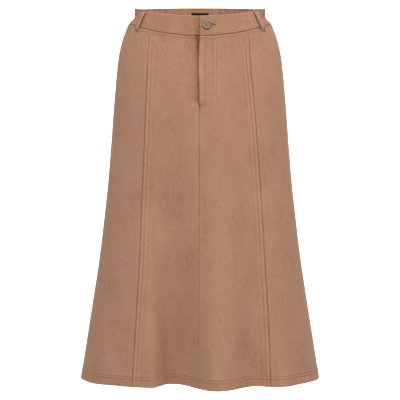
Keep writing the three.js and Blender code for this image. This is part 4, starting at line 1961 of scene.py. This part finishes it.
@dataclass
class Buttoning:
    """The shank button, its tack and the keyhole buttonhole."""

    x: float = 13.8
    z: float = -16.0
    head: float = 8.8
    thick: float = 2.4
    shank: float = 2.2
    above_band: float = 0.3
    tack: float = 4.6
    tack_thick: float = 1.2
    tack_gap: float = 0.3
    eye: float = 2.9
    slit: float = 1.2
    length: float = 17.0
    cut_reach: float = 12.0
    stitch_out: float = 0.9

    def stand(self, form: Form) -> Matrix:
        """The button's frame: X level towards the wearer's left, Z out of the band.

        Args:
            form: the form.

        Returns:
            The frame, in metres.
        """
        z = np.array(self.z)
        t = form.angle_of_x(np.array(self.x), z)
        out = Vector(form.normal(t, z))
        level = Vector((0, 0, 1)).cross(out).normalized()
        turn = Matrix((level, out.cross(level), out)).transposed()
        return Matrix.Translation(Vector(form.face(t, z)) * METRE) @ turn.to_4x4()

    def open_buttonhole(self, room: Workroom, band: bpy.types.Object) -> None:
        """Cuts the keyhole through the band.

        Args:
            room: the workroom.
            band: the buttonhole end of the waistband.
        """
        first = math.asin(self.slit / 2 / self.eye)
        turns = np.linspace(first, math.tau - first, 24)
        outline = [(self.eye * math.cos(a), self.eye * math.sin(a)) for a in turns]
        outline += [(self.length, -self.slit / 2), (self.length, self.slit / 2)]
        mesh = bpy.data.meshes.new("keyhole")
        work = bmesh.new()
        reach = self.cut_reach * METRE
        base = work.faces.new([work.verts.new((x * METRE, y * METRE, -reach)) for x, y in outline])
        moved = bmesh.ops.extrude_face_region(work, geom=[base])["geom"]
        upper = [part for part in moved if isinstance(part, bmesh.types.BMVert)]
        bmesh.ops.translate(work, vec=(0, 0, 2 * reach), verts=upper)
        bmesh.ops.recalc_face_normals(work, faces=work.faces)
        work.to_mesh(mesh)
        work.free()
        mesh.transform(self.stand(room.form))
        cutter = link("keyhole", mesh)
        hole = band.modifiers.new("keyhole", "BOOLEAN")
        hole.operation, hole.solver, hole.object = "DIFFERENCE", "EXACT", cutter
        settle(band)
        bpy.data.objects.remove(cutter)

    def hole_line(self, form: Form) -> Array:
        """The closed line of the buttonhole's stitches, just off the band.

        Args:
            form: the form.

        Returns:
            The line's points, in millimetres.
        """
        eye, slit = self.eye + self.stitch_out, self.slit / 2 + self.stitch_out
        first = math.asin(slit / eye)
        turns = np.linspace(first, math.tau - first, 40)
        outline = [(eye * math.cos(a), eye * math.sin(a)) for a in turns]
        edge = np.linspace(eye * math.cos(first) + 1, self.length, 14)
        outline += [(x, -slit) for x in edge]
        bend = np.linspace(-math.pi / 2, math.pi / 2, 8)[1:-1]
        outline += [(self.length + slit * math.cos(a), slit * math.sin(a)) for a in bend]
        outline += [(x, slit) for x in edge[::-1]]
        outline.append(outline[0])
        stand = self.stand(form)
        return np.array([stand @ Vector((x * METRE, y * METRE, 0.0025)) for x, y in outline]) / METRE

    def head_profile(self, back: float) -> list[tuple[float, float]]:
        """The button's profile: the shank, the back, the rolled rim and the low dome with its ring.

        Args:
            back: height of the shank's foot.

        Returns:
            Radius and height at each corner, from the foot to the middle of the face.
        """
        seat_at = BAND_PROUD + self.above_band
        head, top = self.head, seat_at + self.thick
        stem = [(0, back), (self.shank, back), (self.shank, seat_at)]
        edge = [(head - 1.4, seat_at), (head - 0.5, seat_at + 0.25), (head, seat_at + 0.8),
                (head, top - 0.75), (head - 0.25, top - 0.25), (head - 0.8, top)]
        rim = [(head - 1.3, top - 0.12), (head - 1.65, top - 0.5), (head - 2.0, top - 0.62),
               (head - 2.5, top - 0.5), (head - 3.2, top - 0.55)]
        ring = [(3.6, top - 0.6), (3.2, top - 0.42), (2.8, top - 0.6)]
        return stem + edge + rim + ring + [(1.4, top - 0.55), (0.5, top - 0.5), (0, top - 0.5)]

    def tack_profile(self, near: float) -> list[tuple[float, float]]:
        """The tack's profile, a plain disc with rounded edges.

        Args:
            near: height of its outer face.

        Returns:
            Radius and height at each corner, from the middle of the inner face to that of the outer.
        """
        radius, far = self.tack, near - self.tack_thick
        return [(0, far), (radius - 0.7, far), (radius, near - 0.7), (radius, near - 0.2),
                (radius - 0.3, near), (0, near)]

    def build(self, room: Workroom) -> None:
        """Makes the button and its tack, and works the buttonhole.

        Args:
            room: the workroom.
        """
        stand = self.stand(room.form)
        back = BAND_PROUD - 2 * BAND_THICKNESS - LAP_GAP
        button = turned_solid("shank_button", self.head_profile(back), stand)
        button.data.materials.append(room.finishes["metal"])
        seat(button, ["button"])
        tack = turned_solid("shank_tack", self.tack_profile(back - self.tack_gap), stand)
        tack.data.materials.append(room.finishes["metal"])
        seat(tack, ["button_tack"])
        band = [bpy.data.objects["waistband_front_left_cloth"]]
        room.stitches.sew("buttonhole_stitches", [self.hole_line(room.form)], band, StitchKind.SATIN,
                          pitch=0.5, length=2.2, thickness=0.55, lift=0.18)


@dataclass
class Fly:
    """What lies behind the fly: the closed zip and the shield.

    zip_span and shield_span are their sideways places, and rows_end the share of the way down at which
    they end.
    """

    dipped: float = -2.0
    dipped_cloth: float = 1.5
    gap: float = 0.3
    rows_end: float = 0.2057
    zip_span: tuple[float, float] = (-2.0, 26.0)
    zip_tape: float = 0.8
    zip_depth: float = 1.3
    coil: float = 0.45
    coil_half: float = 2.4
    shield_span: tuple[float, float] = (-6.0, 36.0)
    shield_cloth: float = 1.5

    def strip(self, room: Workroom, name: str, span: tuple[float, float], face: float,
              thick: float) -> Shell:
        """A strip behind the opening.

        Args:
            room: the workroom.
            name: its name.
            span: its sideways places.
            face: offset of its outer face.
            thick: its thickness.

        Returns:
            The strip's shell.
        """
        form = room.form
        v, s = np.linspace(0, self.rows_end, 70)[:, None], crowded(18)[None, :]
        z = lerp(form.waist_seam(FRONT), form.hem, v)
        t = form.angle_of_x(lerp(span[0], span[1], s), z)
        shell = Shell(name, form, t, lerp(form.waist_seam(t) - self.gap / 2, form.hem, v), thick)
        shell.out = face
        shell.turned = turned_edge(from_nearer_end(shell.points), thick / 2)
        shell.drape = 0.0
        return shell

    def build(self, room: Workroom) -> None:
        """Makes the zip and the shield.

        Args:
            room: the workroom.
        """
        zip_face = self.dipped - self.dipped_cloth - self.gap
        tape = self.strip(room, "zip", self.zip_span, zip_face, self.zip_tape)
        from_coil = np.abs(tape.points[..., 0] - sum(self.zip_span) / 2)
        tape.behind = self.coil * within(from_coil, self.coil_half, 0.6)
        made = room.cloth(tape, "tape", Pucker_Depth=0.0)
        made.name = "zip_tape"
        seat(made, ["zip"], Cut(30.0, 152.0, "laid"))
        shield_face = zip_face - self.zip_depth - self.gap
        shield = self.strip(room, "fly_shield", self.shield_span, shield_face, self.shield_cloth)
        cut = Cut(52.0, 160.0, "laid")
        seat(room.cloth(shield), ["fly_shield"], cut)


@dataclass
class BackLabel:
    """The bare woven label inside the back waistband."""

    width: float = 38.0
    height: float = 18.0
    below: float = 9.0
    thick: float = 0.6
    edge_radius: float = 0.4
    turned_in: float = 4.0

    def build(self, room: Workroom, band: Waistband) -> None:
        """Makes the label.

        Args:
            room: the workroom.
            band: the waistband it is sewn to.
        """
        form = room.form
        middle = np.array(BACK)
        deep = form.top_edge(middle) - form.waist_seam(middle)
        w = lerp(self.below / deep, (self.below + self.height) / deep, crowded(16))[:, None]
        x = lerp(self.width / 2, -self.width / 2, crowded(30))[None, :]
        t = form.angle_of_x(x, band.height(form, middle, w), "back")
        shell = Shell("back_label", form, t, band.height(form, t, w), self.thick)
        shell.out = BAND_PROUD - BAND_THICKNESS - BAND_GAP + band.elastic_out(w)
        shell.turned = turned_edge(from_nearer_end(shell.points), self.edge_radius)
        shell.drape = 0.0
        cut = Cut(self.width, self.height + self.turned_in, "laid")
        seat(room.cloth(shell, "label"), ["back_label"], cut)


# ---- Studio -----------------------------------------------------------------------------------------


@dataclass
class Studio:
    """A pale floor that sweeps up behind, two soft lights, a weak sky and the camera, in metres."""

    eye: tuple[float, float, float] = (0.0, -3.4, -0.116)
    aim: tuple[float, float, float] = (0.0, 0.0, -0.3814)
    lit: tuple[float, float, float] = (0.0, 0.0, -0.4)
    lens: float = 145.7
    sensor: float = 36.0
    floor: float = -1.15
    half_width: float = 7.0
    sky: float = 0.1

    def sheet(self, name: str, path: Sequence[tuple[float, float]], shade: float, glow: float) -> None:
        """Makes a wide pale sheet.

        Args:
            name: its name.
            path: its profile, as distance behind the skirt and height over the floor.
            shade: how pale it is.
            glow: how strongly it is lit from behind.
        """
        points = [(x, y, self.floor + up) for y, up in path for x in (-self.half_width, self.half_width)]
        faces = [(2 * i, 2 * i + 1, 2 * i + 3, 2 * i + 2) for i in range(len(path) - 1)]
        mesh = bpy.data.meshes.new(name)
        mesh.from_pydata(points, [], faces)
        mesh.polygons.foreach_set("use_smooth", np.ones(len(mesh.polygons), bool))
        made = link(name, mesh)
        material = new_material(f"{name}_white", Roughness=0.9, Specular_IOR_Level=0.1,
                                Base_Color=(shade, shade, shade, 1.0), Emission_Strength=glow,
                                Emission_Color=(1.0, 1.0, 1.0, 1.0))[0]
        mesh.materials.append(material)

    def lamp(self, name: str, place: tuple[float, float, float], power: float, size: tuple[float, float],
             colour: tuple[float, float, float]) -> None:
        """Hangs a rectangular soft light that looks at the skirt.

        Args:
            name: the lamp's name.
            place: where it is.
            power: its power in watts.
            size: its width and height.
            colour: its colour.
        """
        data = bpy.data.lights.new(name, "AREA")
        data.shape, data.energy, data.color = "RECTANGLE", power, colour
        data.size, data.size_y = size
        lamp = bpy.data.objects.new(name, data)
        bpy.context.scene.collection.objects.link(lamp)
        lamp.location = place
        lamp.rotation_euler = (Vector(self.lit) - Vector(place)).to_track_quat("-Z", "Y").to_euler()

    def build(self) -> None:
        """Makes the sweep, the lights, the sky and the camera."""
        self.sheet("studio_floor", [(-7.0, 0.0), (1.1, 0.0)], 0.6, 0.0)
        sweep = [(1.1, 0.0), (4.0, 0.0), (4.7, 0.15), (5.2, 0.6), (5.4, 1.3), (5.5, 5.0)]
        self.sheet("studio_backdrop", sweep, 0.85, 0.9)
        self.lamp("bank", (0.3, -1.7, 3.0), 294.0, (7.5, 0.8), (1.0, 0.99, 0.975))
        self.lamp("fill", (-0.4, -3.4, -1.0), 8.0, (3.0, 0.8), (1.0, 1.0, 1.0))
        world = bpy.data.worlds.new("studio_sky")
        world.use_nodes = True
        sky = world.node_tree.nodes["Background"].inputs
        sky["Color"].default_value = (1.0, 1.0, 1.0, 1.0)
        sky["Strength"].default_value = self.sky
        bpy.context.scene.world = world
        bpy.context.scene.view_settings.view_transform = "Standard"
        data = bpy.data.cameras.new("camera")
        data.lens, data.sensor_width = self.lens, self.sensor
        camera = bpy.data.objects.new("camera", data)
        bpy.context.scene.collection.objects.link(camera)
        camera.location = self.eye
        camera.rotation_euler = (Vector(self.aim) - Vector(self.eye)).to_track_quat("-Z", "Y").to_euler()
        bpy.context.scene.camera = camera


def main() -> None:
    """Builds the studio and the skirt, piece by piece."""
    logging.basicConfig(level=logging.INFO, format="%(name)s: %(message)s")
    Studio().build()
    thread = Thread("thread", (0.33, 0.168, 0.095, 1), (0.25, 0.12, 0.064, 1))
    suede = Suede("suede", light=(0.47, 0.262, 0.173, 1), middle=(0.423, 0.23, 0.15, 1),
                  dark=(0.36, 0.188, 0.114, 1), painted_shade=(0.19, 0.076, 0.03, 1))
    metal = AntiqueMetal("antique_metal", silver=(0.35, 0.27, 0.22, 1), brass=(0.37, 0.26, 0.15, 1),
                         tarnish=(0.12, 0.085, 0.06, 1))
    tape = Woven("zip_tape_weave", (0.27, 0.15, 0.096, 1), (0.2, 0.11, 0.07, 1))
    label = Woven("label_weave", (0.012, 0.010, 0.009, 1), (0.005, 0.004, 0.004, 1), threads=2400.0)
    finishes = {"suede": suede, "metal": metal, "tape": tape, "label": label}
    room = Workroom(
        form=Form(),
        relief=relief_tree(),
        finishes={slot: finish.make() for slot, finish in finishes.items()},
        stitches=StitchBook(thread.make()),
    )
    band = Waistband()
    Skirt().build(room)
    band.build(room)
    band.left_loop.build(room)
    band.right_loop.build(room)
    Fly().build(room)
    Buttoning().build(room)
    BackLabel().build(room, band)


if __name__ == "__main__":
    main()
